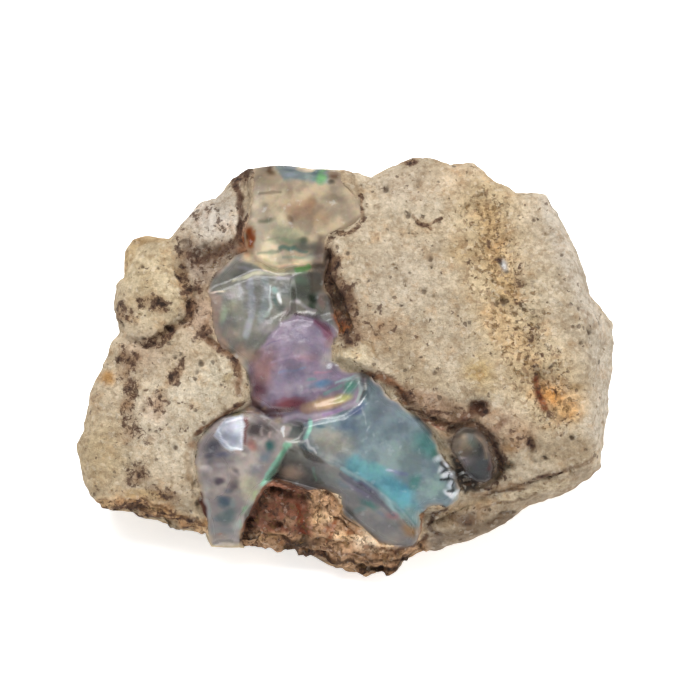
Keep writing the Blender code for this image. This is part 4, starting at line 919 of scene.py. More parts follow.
HOST_WASHES = (
    # left lobe and left face
    ("area", ((-30, 25), (-9, 25), (-9, -22), (-30, -22)), 1.0, "#CDBBA0", 1.0),
    ("spot", (-19.6, 8.2), (4.2, 5.0), "#D4C2A0", 0.9),
    ("line", ((-22.6, 9.0), (-21.4, 12.2), (-18.6, 12.6)), 0.8, "#BE9E6C", 0.6),
    ("spot", (-14.0, 14.8), (3.2, 2.8), "#F0E8DE", 0.95),
    ("spot", (-12.8, 16.4), (1.6, 1.6), "#BFB4A6", 0.7),
    ("spot", (-16.4, 11.0), (1.4, 2.6), "#CFBFA2", 0.7),
    ("area", ((-17.4, 13.6), (-15.0, 12.2), (-11.6, 12.6), (-10.4, 11.0), (-12.4, 9.6), (-15.0, 7.6),
              (-17.2, 10.0)), 0.9, "#AA9A8A", 0.9),
    ("spot", (-15.6, 11.6), (1.6, 1.2), "#968C80", 0.7),
    ("line", ((-14.6, 10.4), (-12.6, 11.6), (-10.8, 12.2)), 0.9, "#7A6252", 0.8),
    ("spot", (-14.9, 5.0), (2.0, 2.6), "#BC9F88", 0.8),
    ("spot", (-13.6, 8.6), (1.0, 1.0), "#A5907C", 0.7),
    ("spot", (-13.6, -1.6), (2.4, 2.6), "#DACFB8", 0.9),
    ("spot", (-17.6, -5.6), (5.2, 4.6), "#DED2BC", 0.9),
    ("spot", (-12.0, -1.2, 50), (0.9, 0.5), "#A08C64", 0.7),
    ("spot", (-25.0, -9.0), (3.0, 4.4), "#BFAA86", 0.8),
    ("spot", (-24.2, -1.4), (1.0, 0.8), "#BE8C4A", 0.85),
    ("spot", (-20.6, 0.8), (2.4, 2.2), "#CBB49C", 0.7),
    ("spot", (-19.4, -4.6), (1.4, 1.4), "#D2B79E", 0.6),
    ("line", ((-24.8, -13.8), (-21.0, -14.0), (-17.6, -15.2), (-14.9, -16.6)), 1.3, "#CEAA80", 0.85),
    ("line", ((-22.0, -12.8), (-18.6, -13.2)), 0.7, "#C2A678", 0.7),
    ("line", ((-23.6, -14.4), (-20.6, -14.9), (-17.8, -15.8)), 0.22, "#5C4026", 0.85),
    ("line", ((-20.6, -13.7), (-18.2, -14.5), (-15.4, -15.4)), 0.2, "#6E4E30", 0.8),
    ("line", ((-17.2, -15.2), (-15.8, -15.5), (-14.6, -16.2)), 0.3, "#54381F", 0.85),
    ("line", ((-19.6, -14.4), (-17.4, -15.0)), 0.2, "#CFAE80", 0.8),
    ("line", ((-14.4, 2.9), (-12.8, 1.8), (-11.4, 0.4), (-10.8, -1.4), (-10.9, -3.0)), 0.55, "#8A6A52", 0.85),
    ("line", ((-15.0, -6.6), (-13.4, -5.4), (-11.8, -4.5), (-10.6, -4.1)), 0.36, "#7E5434", 0.9),
    ("spot", (-15.6, -7.8), (0.6, 0.5), "#8E6A4A", 0.8),
    ("line", ((-16.1, -8.6), (-15.9, -10.2), (-15.4, -12.0)), 0.5, "#B09A7E", 0.8),
    ("spot", (-14.4, -15.6), (0.5, 0.7), "#9A6A34", 0.8),
    # top, beside the potch
    ("line", ((-11.6, 18.8), (-11.0, 17.0), (-10.8, 15.4), (-11.3, 13.0)), 0.5, "#6E5244", 0.85),
    ("spot", (-10.6, 19.4), (1.6, 0.7), "#4E3C2E", 0.9),
    ("spot", (-10.4, 18.4), (1.6, 1.0), "#94806C", 0.8),
    ("area", ((-9.9, 25), (-10.2, 12.6), (-9.4, 9.6), (-2.4, 10.0), (-1.4, 13.0), (0.8, 14.6), (1.0, 16.8),
              (-1.0, 25)), 0.5, "#BCA88C", 0.9),
    ("spot", (-9.4, 19.6), (1.6, 0.6), "#5A4838", 0.85),
    ("spot", (-7.9, 19.7), (0.9, 0.5), "#6A4620", 0.85),
    ("spot", (-10.3, 13.0), (0.7, 1.2), "#B4642C", 0.9),
    ("spot", (-10.6, 11.4), (0.8, 0.6), "#8E5A38", 0.85),
    # right face
    ("area", ((-0.9, 25), (1.0, 16.8), (0.8, 14.6), (-2.0, 12.6), (-2.2, 9.0), (-0.6, 3.0), (2.0, -1.0),
              (9.6, -7.0), (10.8, -12.8), (30, -12), (30, 25)), 0.5, "#CBBBA2", 1.0),
    ("spot", (5.6, 18.0), (3.4, 2.2), "#CCBCA6", 0.9),
    ("spot", (11.7, 18.4), (3.6, 2.6), "#DCC6A8", 0.8),
    ("spot", (17.0, 15.2), (3.0, 2.4), "#DCCCB4", 0.8),
    ("spot", (8.6, 13.6), (3.6, 1.4), "#CCB99C", 0.7),
    ("spot", (4.6, 8.4), (3.8, 3.6), "#CFC0AA", 0.8),
    ("line", ((13.6, 15.4), (14.4, 8.0), (16.8, 2.0), (19.8, -3.0)), 5.2, "#DAC29A", 0.75),
    ("line", ((13.8, 15.0), (14.2, 11.0), (15.6, 7.4)), 1.9, "#DAB886", 0.7),
    ("line", ((14.0, 5.4), (16.0, 2.6), (18.0, 0.0)), 1.8, "#D6B68A", 0.6),
    ("spot", (11.0, 11.0), (1.6, 1.4), "#C8AC80", 0.6),
    ("spot", (12.6, -0.6), (1.9, 1.8), "#BCA06A", 0.8),
    ("spot", (13.4, -2.4), (1.4, 1.0), "#CBB691", 0.7),
    ("spot", (18.5, 7.6), (1.8, 2.8), "#D0BFA2", 0.7),
    # painted light and shade: the right shoulder and edge, which turn from the light, are laid on paler and
    # greyer than the face
    ("line", ((20.0, 16.0), (21.6, 11.0), (24.0, 5.0)), 1.8, "#CFC4B4", 0.85),
    ("line", ((24.9, 3.4), (25.6, -1.0), (25.0, -7.4)), 2.4, "#D0C5B4", 0.85),
    ("spot", (20.8, -3.2, -14), (3.0, 1.5), "#F6D0A0", 0.95),
    ("spot", (20.0, -3.2, -14), (1.5, 0.9), "#EEAE64", 0.9),
    ("spot", (21.6, -4.6), (1.6, 1.0), "#D4A86E", 0.8),
    ("spot", (22.6, -2.0), (0.8, 0.5), "#A98A5E", 0.7),
    ("spot", (18.5, -1.5, 80), (0.9, 0.35), "#7A4028", 0.9),
    ("line", ((18.5, -1.9), (18.8, -3.2), (19.1, -4.3)), 0.55, "#8A4420", 0.85),
    ("spot", (18.7, -3.0), (0.4, 0.6), "#5E2A18", 0.9),
    ("spot", (15.2, 10.0, 30), (0.5, 0.7), "#B2AEAA", 1.0),
    ("spot", (14.7, 10.3, 30), (0.26, 0.6), "#34302E", 0.9),
    ("spot", (15.4, 9.4), (0.4, 0.2), "#3A3632", 0.8),
    ("spot", (15.2, 9.9), (0.22, 0.2), "#ECECEC", 0.9),
    ("spot", (2.6, 3.4), (3.6, 1.7), "#B49A7C", 0.8),
    ("spot", (5.4, 1.6), (2.6, 1.4), "#BFA98A", 0.7),
    ("spot", (0.2, 1.0), (1.9, 1.3), "#DACAAA", 0.95),
    ("spot", (-0.2, 1.9), (1.0, 0.5), "#DACCAE", 0.8),
    ("line", ((0.3, 2.6), (2.0, 2.0), (2.8, 0.6)), 0.25, "#9A7E56", 0.7),
    ("spot", (6.8, -1.4), (3.4, 1.8), "#B09C7E", 0.75),
    ("area", ((4.6, -2.2), (9.0, -2.6), (12.0, -4.8), (11.0, -6.4), (9.0, -7.0), (6.6, -5.4)), 0.6,
     "#A88C74", 0.85),
    ("line", ((1.4, -0.8), (3.2, -1.3), (4.6, -2.2), (5.4, -3.3)), 0.55, "#88593A", 0.9),
    ("line", ((2.8, -0.6), (4.4, -1.5)), 0.25, "#5A3C28", 0.8),
    ("line", ((5.2, -2.6), (5.7, -3.3), (6.2, -3.5)), 0.2, "#4A3020", 0.9),
    ("line", ((5.4, -4.0), (6.8, -4.5), (8.0, -4.9)), 0.2, "#543828", 0.9),
    ("line", ((6.8, -5.3), (8.4, -5.6), (9.4, -5.9), (10.2, -5.6)), 0.24, "#66402E", 0.9),
    ("line", ((7.6, -3.3), (8.4, -3.9)), 0.16, "#5E4634", 0.8),
    ("line", ((8.2, -6.0), (9.2, -6.4)), 0.3, "#94543E", 0.85),
    ("spot", (10.4, -4.8), (0.8, 0.7), "#7A6450", 0.8),
    # the crack right of the clear window: brown stain, with its darkest spots painted shade deep in the crack
    ("line", ((-2.6, 10.6), (-1.8, 7.4), (-1.0, 4.6), (0.0, 2.8)), 2.0, "#7E6450", 0.7),
    ("spot", (-2.2, 9.4, 70), (0.8, 0.4), "#54402E", 0.85),
    ("spot", (-1.7, 8.2, -60), (0.6, 0.3), "#3A2A1E", 0.85),
    ("spot", (-0.9, 8.6), (0.4, 0.3), "#6E5642", 0.7),
    ("spot", (-0.5, 7.4, 40), (0.5, 0.25), "#4E3A2A", 0.8),
    ("spot", (-0.9, 5.2, 50), (0.6, 0.35), "#4A3222", 0.85),
    ("spot", (0.2, 5.4), (0.5, 0.2), "#6A5240", 0.7),
    ("spot", (-1.3, 6.6), (0.9, 1.0), "#2C1E14", 0.8),
    ("spot", (-0.2, 6.4), (0.7, 0.9), "#6C4C36", 0.7),
    ("spot", (-1.5, 7.4), (0.4, 0.3), "#93856A", 0.8),
    ("spot", (-1.8, 4.9, 70), (0.7, 0.6), "#A8541A", 0.95),
    ("spot", (-1.2, 4.0, 110), (0.7, 0.5), "#94440E", 0.9),
    ("spot", (-0.8, 3.4), (0.6, 0.4), "#B4682E", 0.85),
    # rim round the nodule
    ("area", ((9.2, -6.6), (11.6, -5.4), (14.0, -6.2), (15.2, -9.0), (14.9, -11.4), (12.6, -12.6),
              (10.8, -11.6)), 0.35, "#64564C", 0.95),
    ("spot", (9.6, -6.9), (0.9, 0.6), "#9C8264", 0.8),
    ("area", ((9.8, -9.2), (10.8, -9.6), (12.8, -11.2), (12.7, -12.3), (11.4, -12.8), (10.6, -11.6)), 0.2,
     "#241E1A", 0.95),
    # two painted glints
    ("spot", (11.3, -10.9, 40), (0.35, 0.14), "#E8ECEE", 0.95),
    ("spot", (11.8, -11.3, -20), (0.3, 0.12), "#D4DADC", 0.9),
    ("line", ((11.0, -12.4), (12.0, -12.0), (12.2, -12.8)), 0.2, "#4C3C2C", 0.8),
    ("line", ((12.1, -5.8), (13.3, -6.7), (14.3, -8.0), (14.9, -9.6)), 0.5, "#3A221A", 0.95),
    ("line", ((12.9, -6.2), (13.6, -6.6)), 0.2, "#A58A74", 0.7),
    ("spot", (15.5, -10.0), (0.6, 0.5), "#3C3016", 0.95),
    ("line", ((12.8, -12.0), (13.9, -11.6), (15.0, -10.8)), 0.4, "#54452F", 0.85),
    ("line", ((14.0, -6.2), (14.9, -7.4), (15.3, -8.8)), 0.3, "#B2937C", 0.8),
    ("spot", (14.0, -5.6), (3.4, 1.6), "#B39478", 0.6),
    ("spot", (15.8, -8.0), (0.9, 0.7), "#AE8454", 0.8),
    ("spot", (14.8, -5.8, 40), (1.0, 0.4), "#7A5640", 0.75),
    ("spot", (17.0, -7.2), (2.0, 1.4), "#BC9A78", 0.7),
    ("area", ((12.0, -3.8), (12.8, -3.5), (13.5, -3.8), (13.2, -4.9), (12.4, -5.0), (11.8, -4.7)), 0.25,
     "#55301E", 0.95),
    ("spot", (11.6, -5.1), (0.7, 0.5), "#6A3A2C", 0.8),
    ("spot", (18.1, -7.9, 10), (0.45, 0.9), "#4A342A", 0.9),
    ("spot", (21.6, -8.4), (3.6, 2.0), "#C0AB8C", 0.7),
    ("line", ((15.8, -12.2), (17.6, -11.9), (20.0, -10.8), (24.0, -9.4)), 0.4, "#947C64", 0.8),
    # ledge at the lower right
    ("area", ((7.2, -14.6), (11.5, -13.2), (15.6, -12.6), (20.5, -11.0), (25.8, -9.6), (24.0, -13.4),
              (17.5, -15.6), (11.5, -19.6), (6.6, -20.4)), 0.35, "#B5A48C", 1.0),
    # painted light on the ledge's top: the cream bands
    ("line", ((9.6, -14.6), (11.2, -14.1), (13.6, -13.6)), 0.7, "#BFA888", 0.9),
    ("line", ((12.4, -13.0), (15.0, -12.2), (17.0, -12.0)), 0.5, "#A68A6C", 0.8),
    ("line", ((14.6, -13.6), (18.0, -12.6), (21.4, -11.6)), 0.7, "#D0BEA0", 0.85),
    ("line", ((12.6, -14.3), (15.5, -13.5), (18.4, -12.9)), 0.22, "#8A745E", 0.8),
    # painted shade on the ledge's lower side
    ("line", ((9.0, -17.6), (12.0, -16.6), (16.0, -15.2)), 1.0, "#7E6B56", 0.85),
    ("spot", (9.6, -15.6), (1.2, 0.8), "#B39C7E", 0.8),
    ("spot", (8.6, -18.0), (1.6, 1.0), "#8A7A6A", 0.8),
    ("line", ((7.4, -14.2), (7.2, -15.4), (6.8, -16.6), (6.4, -17.4)), 0.55, "#9A6C48", 0.85),
    ("line", ((9.6, -14.1), (8.5, -14.7), (8.0, -15.7), (8.2, -16.6), (9.2, -17.2)), 0.34, "#4C3424", 0.95),
    ("spot", (11.6, -15.3), (1.3, 0.9), "#69564A", 0.9),
    ("spot", (11.6, -15.8), (0.7, 0.3), "#4A3A2E", 0.8),
    ("spot", (12.2, -15.0), (0.4, 0.25), "#84705E", 0.7),
    ("line", ((15.0, -14.9), (16.3, -14.5)), 0.24, "#54402E", 0.9),
    ("line", ((13.9, -15.7), (15.0, -15.4)), 0.22, "#6A523C", 0.85),
    ("line", ((13.4, -12.8), (16.0, -12.5), (17.4, -12.2)), 0.22, "#5E4734", 0.8),
    # broken clay below the opal
    ("area", ((-10.9, -13.0), (-8.6, -12.0), (-7.0, -11.0), (-2.4, -12.4), (0.4, -15.4), (3.0, -18.0),
              (6.6, -18.0), (7.6, -17.4), (7.4, -24), (-11.4, -24)), 0.3, "#A88668", 1.0),
    ("area", ((-11.2, -16.6), (-9.0, -11.8), (-7.4, -10.8), (-3.8, -12.2), (-3.6, -14.0), (-4.2, -17.0),
              (-8.0, -16.9)), 0.4, "#835644", 0.95),
    ("line", ((-7.8, -11.2), (-5.8, -11.9), (-4.0, -12.3)), 0.3, "#3E2118", 0.85),
    ("line", ((-6.9, -11.0), (-4.6, -12.0)), 0.14, "#B4947C", 0.7),
    ("spot", (-6.3, -12.7), (1.1, 0.9), "#482A1E", 0.85),
    ("spot", (-4.5, -13.1), (0.6, 0.8), "#482A1C", 0.85),
    ("spot", (-8.6, -13.6), (0.6, 0.4), "#A08672", 0.85),
    ("spot", (-8.1, -12.8), (0.6, 0.5), "#87604E", 0.8),
    ("spot", (-9.0, -15.5), (1.0, 0.8), "#6C483A", 0.8),
    ("spot", (-5.6, -13.2), (0.3, 0.25), "#A27058", 0.7),
    ("spot", (-6.4, -15.8), (0.9, 0.5), "#A6856A", 0.85),
    ("line", ((-5.4, -14.4), (-5.0, -15.8), (-4.6, -17.0)), 0.55, "#6E341E", 0.9),
    # dark red-brown iron in the hollow right of the tooth, its near-black middle painted shadow
    ("spot", (-10.2, -15.8), (0.55, 0.8), "#2A0803", 1.0),
    ("line", ((-10.4, -14.8), (-9.8, -13.8)), 0.3, "#5E1A0A", 0.9),
    ("spot", (-3.0, -13.9), (1.3, 1.0), "#BE9A78", 0.9),
    ("spot", (-3.3, -15.2), (0.9, 0.7), "#DCBC94", 0.95),
    ("spot", (-2.0, -15.2), (0.6, 0.5), "#D4B48E", 0.9),
    ("line", ((-1.6, -15.2), (-2.0, -16.4), (-2.4, -17.8)), 0.4, "#86482A", 0.8),
    ("spot", (-2.6, -16.4, 50), (0.8, 0.3), "#7A4A34", 0.8),
    ("spot", (-0.9, -17.3), (1.2, 0.7), "#E2C49E", 0.95),
    ("spot", (0.8, -17.4), (1.2, 0.6), "#EACCA8", 0.9),
    ("spot", (2.4, -18.0), (2.2, 0.9), "#F0D8BA", 0.9),
    ("spot", (0.2, -16.5), (0.8, 0.35), "#A87450", 0.8),
    ("line", ((-1.0, -14.2), (0.4, -15.2), (2.0, -16.6), (3.4, -17.7)), 0.25, "#AC8860", 0.8),
    ("line", ((1.6, -18.6), (3.4, -18.2), (4.6, -18.9)), 0.3, "#7A5238", 0.8),
    ("line", ((-10.8, -17.0), (-9.4, -16.9), (-7.8, -17.3), (-6.0, -17.6)), 0.24, "#3A2414", 0.9),
    ("line", ((-10.0, -17.6), (-7.5, -17.8)), 0.28, "#B4936A", 0.85),
    # near-black along the bottom edge, where the lump turns under: painted shade
    ("line", ((-11.0, -17.6), (-9.8, -17.4)), 0.34, "#1E0F06", 0.95),
    ("spot", (-5.2, -18.3), (1.4, 0.6), "#221912", 0.95),
    ("line", ((-6.4, -18.6), (-5.0, -19.3), (-3.9, -19.2)), 0.34, "#0E0C0A", 0.95),
    ("spot", (-3.8, -17.9), (0.8, 0.5), "#3A2418", 0.85),
    ("line", ((-2.8, -18.5), (0.0, -19.4), (2.6, -20.2)), 0.3, "#6A4A38", 0.75),
    ("line", ((0.2, -19.0), (3.6, -19.9), (5.6, -19.7)), 0.24, "#3A2416", 0.9),
    ("line", ((-3.6, -19.4), (-0.8, -20.1), (2.6, -20.9), (4.2, -20.6)), 0.3, "#2A1E12", 0.85),
    ("spot", (1.4, -19.6), (0.8, 0.25), "#B08A6A", 0.8),
    ("spot", (3.4, -19.1), (0.7, 0.25), "#A8805E", 0.8),
    ("spot", (2.6, -20.8), (1.0, 0.25), "#4C4428", 0.7),
    ("line", ((3.6, -20.9), (5.0, -20.4), (6.4, -19.6)), 0.3, "#16100C", 0.9),
    ("line", ((4.6, -18.8), (5.6, -18.2), (7.0, -17.9), (7.8, -17.2)), 0.38, "#4A3022", 0.9),
    # dark red-brown in the gap left of the tooth, darkened as painted shade
    ("line", ((-15.0, -13.0), (-14.6, -14.9)), 0.4, "#4C0E06", 1.0),
)

# Painted light: where faces turn down and away from the light, on the broken clay below the opal, on the left
# face and along its foot, the rock is laid on lighter, and by how much.
HOST_PAINTED_LIGHT = (
    ("area", ((-10.9, -12.0), (-8.6, -11.4), (-2.4, -11.6), (3.0, -17.0), (7.6, -16.4), (8.4, -24),
              (-11.4, -24)), 0.5, 0.75),
    ("area", ((-30, 25), (-11, 25), (-12, -5), (-15.5, -8), (-14, -22), (-30, -22)), 0.5, 0.02),
    ("line", LEFT_FOOT, 1.6, 0.4),
)

# How strongly the rock is stained dark brown by manganese and iron, in broken mottles.
HOST_STAINS = (
    ("line", ((-11.8, 19.2), (-11.0, 16.8), (-10.8, 14.6), (-11.2, 12.4)), 0.8, 0.75),
    ("spot", (-10.8, 19.0), (2.4, 1.1), 0.75),
    ("area", ((-17.8, 13.6), (-15.0, 12.4), (-11.6, 12.8), (-10.2, 11.0), (-12.4, 9.2), (-15.0, 7.0),
              (-17.4, 9.6)), 1.2, 0.55),
    ("spot", (-14.4, 14.4), (3.4, 3.6), 0.44),
    ("line", ((-14.8, 10.6), (-12.6, 11.4), (-10.8, 12.6)), 1.0, 0.75),
    ("line", ((-16.9, 9.4), (-16.4, 7.2), (-15.6, 6.0), (-16.0, 4.6)), 1.3, 0.85),
    ("line", ((-16.2, 4.4), (-17.6, 3.8), (-18.6, 2.8), (-20.4, 2.0)), 1.0, 0.88),
    ("spot", (-19.6, 6.0), (3.0, 1.4), 0.80),
    ("spot", (-22.6, 5.4), (1.3, 2.0), 0.68),
    ("spot", (-22.4, 0.6), (1.6, 2.4), 0.80),
    ("spot", (-17.4, -0.4, 60), (2.4, 0.9), 0.82),
    ("line", ((-21.6, -2.2), (-22.3, -4.6), (-21.3, -6.8)), 1.7, 0.82),
    ("spot", (-19.0, -3.6), (2.2, 1.4), 0.72),
    ("spot", (-20.2, -7.2), (2.8, 1.6), 0.62),
    ("spot", (-21.4, -10.4), (2.0, 2.4), 0.80),
    ("spot", (-19.4, -12.8), (3.0, 1.2), 0.74),
    ("line", LEFT_FOOT, 1.7, 0.66),
    ("line", ((-14.6, 3.0), (-13.0, 1.8), (-11.8, 0.6), (-10.9, -1.2)), 0.7, 0.62),
    ("spot", (-14.9, 4.6), (1.8, 2.6), 0.66),
    ("line", ((-15.2, -6.8), (-12.9, -5.0), (-11.2, -4.2), (-9.6, -3.8)), 0.5, 0.6),
    ("line", ((-2.6, 10.6), (-1.5, 7.8), (-0.7, 5.0), (0.2, 3.0)), 2.4, 0.76),
    ("line", ((0.9, 16.8), (1.3, 14.6), (0.2, 13.5), (-1.5, 12.9), (-2.6, 11.4)), 0.5, 0.85),
    ("line", ((6.0, 14.8), (6.8, 14.3), (7.8, 14.1), (8.8, 14.5)), 0.35, 0.95),
    ("line", ((7.4, 14.2), (8.2, 13.7)), 0.25, 0.9),
    ("spot", (2.6, 4.0), (3.4, 2.0), 0.46),
    ("spot", (6.0, 20.4), (0.9, 0.5), 0.9),
    ("line", ((1.0, -0.7), (4.2, -1.7), (7.6, -4.4), (9.8, -6.0), (12.0, -5.6)), 1.6, 0.5),
    ("line", ((9.8, -6.6), (11.4, -5.7), (13.4, -6.4), (15.0, -9.0), (15.3, -11.2), (13.4, -12.5)), 0.9, 0.6),
    ("spot", (12.7, -4.3), (1.3, 1.0), 0.75),
    ("spot", (10.4, -4.6), (2.2, 1.0), 0.5),
    ("spot", (18.2, -7.8), (0.5, 0.9), 0.95),
    ("line", ((18.2, -1.0), (18.5, -3.0), (19.2, -4.4)), 0.8, 0.42),
    ("spot", (16.6, -7.0), (2.2, 1.8), 0.42),
    ("line", ((15.6, -12.4), (18.4, -11.6), (22.0, -10.2)), 0.5, 0.6),
    ("area", ((-10.9, -13.6), (-8.6, -12.0), (-3.4, -12.4), (-4.4, -18.0), (-11.4, -18.6)), 0.5, 0.5),
    ("area", ((-3.4, -12.4), (3.0, -18.2), (7.6, -17.4), (7.4, -24), (-4.4, -24)), 0.5, 0.15),
    ("line", ((-8.8, -17.6), (-6.4, -17.9), (-4.6, -18.9)), 0.8, 0.7),
    ("line", ((-3.8, -19.4), (-1.0, -20.2), (2.2, -21.0), (4.8, -20.6), (7.0, -19.2)), 0.9, 0.7),
    ("spot", (12.0, -15.4), (1.2, 0.8), 0.55),
    ("line", ((14.4, 12.6), (15.6, 8.6), (17.2, 3.4), (20.6, -3.6)), 3.2, 0.34),
)

# How coarse the rock's grain is.
HOST_GRIT = (
    ("area", ((-30, 25), (30, 25), (30, -25), (-30, -25)), 0.5, 0.45),
    ("line", ((13.4, 15.0), (14.4, 8.6), (17.4, 1.6), (20.0, -4.0)), 5.4, 1.15),
    ("area", ((-10.9, -13.0), (-8.6, -12.0), (-2.4, -12.4), (3.0, -18.2), (7.6, -17.4), (7.4, -24),
              (-11.4, -24)), 0.5, 1.6),
    ("line", ((-24.6, -13.8), (-21.0, -14.6), (-14.6, -17.2)), 1.6, 1.4),
    ("spot", (-14.0, 10.6), (3.6, 2.4), 1.2),
    ("line", ((8.2, -15.6), (16.0, -13.0), (23.0, -10.4)), 1.6, 0.9),
    ("line", ((-2.4, 10.4), (-1.4, 6.4), (-0.4, 3.4)), 1.3, 1.3),
    ("line", ((-17.0, 9.0), (-16.0, 5.0), (-19.6, 2.2)), 1.2, 1.1),
    ("line", ((4.6, -2.6), (9.8, -5.2), (14.8, -7.6), (15.2, -11.0)), 1.8, 1.0),
)

# Pits: u, v, radius and depth.
HOST_PITS = (
    (8.2, 10.4, 0.34, 0.35), (5.0, 6.0, 0.24, 0.3), (23.6, 3.2, 0.34, 0.4), (21.1, 11.2, 0.30, 0.2),
    (15.0, 6.3, 0.45, 0.35), (15.5, 6.4, 0.30, 0.3), (17.4, 5.8, 0.30, 0.3), (17.1, 6.2, 0.26, 0.3),
    (18.7, 3.7, 0.28, 0.3), (17.3, 0.7, 0.28, 0.3), (19.9, -0.2, 0.28, 0.3), (21.8, -7.2, 0.3, 0.35),
    (-20.6, 9.6, 0.26, 0.3), (-18.4, 3.6, 0.30, 0.3), (-13.4, 15.6, 0.30, 0.3), (19.6, -9.4, 0.35, 0.35),
)


# ---------------------------------------------------------------- the surface, finer than the solids

def plane_points(u, v):
    """The points laid flat, to read noise at."""
    return np.stack([u, v, np.zeros(u.shape)], -1)


def opal_distance(u, v):
    """Signed distance to the nearer opal, negative inside, with the small wanderings of the real joint."""
    drift_u, drift_v = wandered(u, v, plane_points(u, v), JOINT_DRIFT)
    return np.minimum(outline_distance(drift_u, drift_v, SEAM), outline_distance(drift_u, drift_v, NODULE))


def face_points(cells):
    """The front of the lump before its opal is let in: points, distance in from the outline, opal distance.

    The height is the opal's facets over the rock's faces, rounded down to the outline, pushed along its
    normals by the roughness, less of it at the outline and on the opal.
    """
    u, v, inward, rim = spread(cells)
    points = np.stack([u, v, rounded(opal_height(u, v), inward, rim)], -1)
    away = opal_distance(u, v)
    rough = ease(inward / RIM_ROUND)
    rough *= OPAL_SMOOTHNESS + (1.0 - OPAL_SMOOTHNESS) * ease(away / ROUGH_REACH)
    index = np.arange(u.size).reshape(u.shape)
    flat = points.reshape(-1, 3)
    normals = surface_normals(flat, cells_of(index), np.empty((0, 3), int)).reshape(points.shape)
    return points + normals * (octaves(points, ROUGHNESS) * rough)[..., None], inward, away, index


def cell_pits(points, spacing, radius, chance, seed):
    """Round pits scattered in 3-D: by chance, one at a random place in each cell of a cubic lattice.

    A pit's own radius is 0.5 to 1.5 of the given one. It is full in its middle and gone at 1.2 radii.
    """
    draws = np.random.RandomState(seed).uniform(size=(LATTICE, LATTICE, LATTICE, 5))
    cell = np.floor(points / spacing).astype(int)
    deepest = np.zeros(len(points))
    for step in np.ndindex(3, 3, 3):
        near = cell + step - 1
        i, j, k = np.moveaxis(near % LATTICE, -1, 0)
        draw = draws[i, j, k]
        reach = np.linalg.norm(points - (near + draw[:, :3]) * spacing, axis=1)
        reach /= radius * (0.5 + draw[:, 3])
        deepest = np.maximum(deepest, np.where(draw[:, 4] < chance, ease(1.2 - reach), 0.0))
    return deepest


def sewn(front_index, back_index):
    """Quads of the front and the back, and triangles that join them at the outline.

    The back's border lies on every second point of the front's, and a triangle takes in each point between.
    """
    outer, inner = ring_of(front_index), ring_of(back_index)
    merged = np.arange(front_index.size + back_index.size)
    merged[inner] = outer[::2]
    quads = np.concatenate([cells_of(front_index), merged[cells_of(back_index)][:, ::-1]])
    return quads, np.stack([outer[::2], np.roll(outer, -1)[1::2], outer[1::2]], -1)


def rock_grain(points, u, v, grit, face_share):
    """Height of the rock's fine grain, and how deep in a pit each point is.

    Grit makes the grain coarser and crumbles it away along the creases of a noise; pits are sunk into it.
    """
    grain = octaves(points, FINE_GRAIN) * (GRAIN_WITHOUT_GRIT + grit)
    for wavelength, size, seed in CRUMBLE:
        grain -= size * np.abs(lattice_noise(points, wavelength, seed)) * ramp(grit, *CRUMBLES_AT)
    hollow = cell_pits(points, *SCATTERED_PITS)
    grain -= SCATTERED_DEPTH * hollow
    for pit_u, pit_v, radius, depth in HOST_PITS:
        pit = face_share * ease(1.3 - np.hypot(u - pit_u, v - pit_v) / radius)
        grain -= depth * pit
        hollow = np.maximum(hollow, pit)
    return grain, hollow


def let_down(points, u, v, inward, under_opal):
    """The points under the opal let down by its depth and a gap, and drawn in where they cut the outline."""
    nodule_depth, seam_depth = (opal_depth(points, inward, floor) for floor in (NODULE_FLOOR, SEAM_FLOOR))
    depth = np.where(outline_distance(u, v, NODULE) < NODULE_POCKET, nodule_depth, seam_depth)
    tuck = TUCK * under_opal * ramp(inward, TUCK_WIDTH, 0.0)
    reach = np.hypot(u - FACE_CENTRE[0], v - FACE_CENTRE[1])
    lowered = points.copy()
    lowered[:, 2] -= under_opal * (depth + POCKET_GAP)
    lowered[:, :2] -= (points[:, :2] - FACE_CENTRE) * (tuck / np.maximum(reach, 1.0))[:, None]
    return lowered


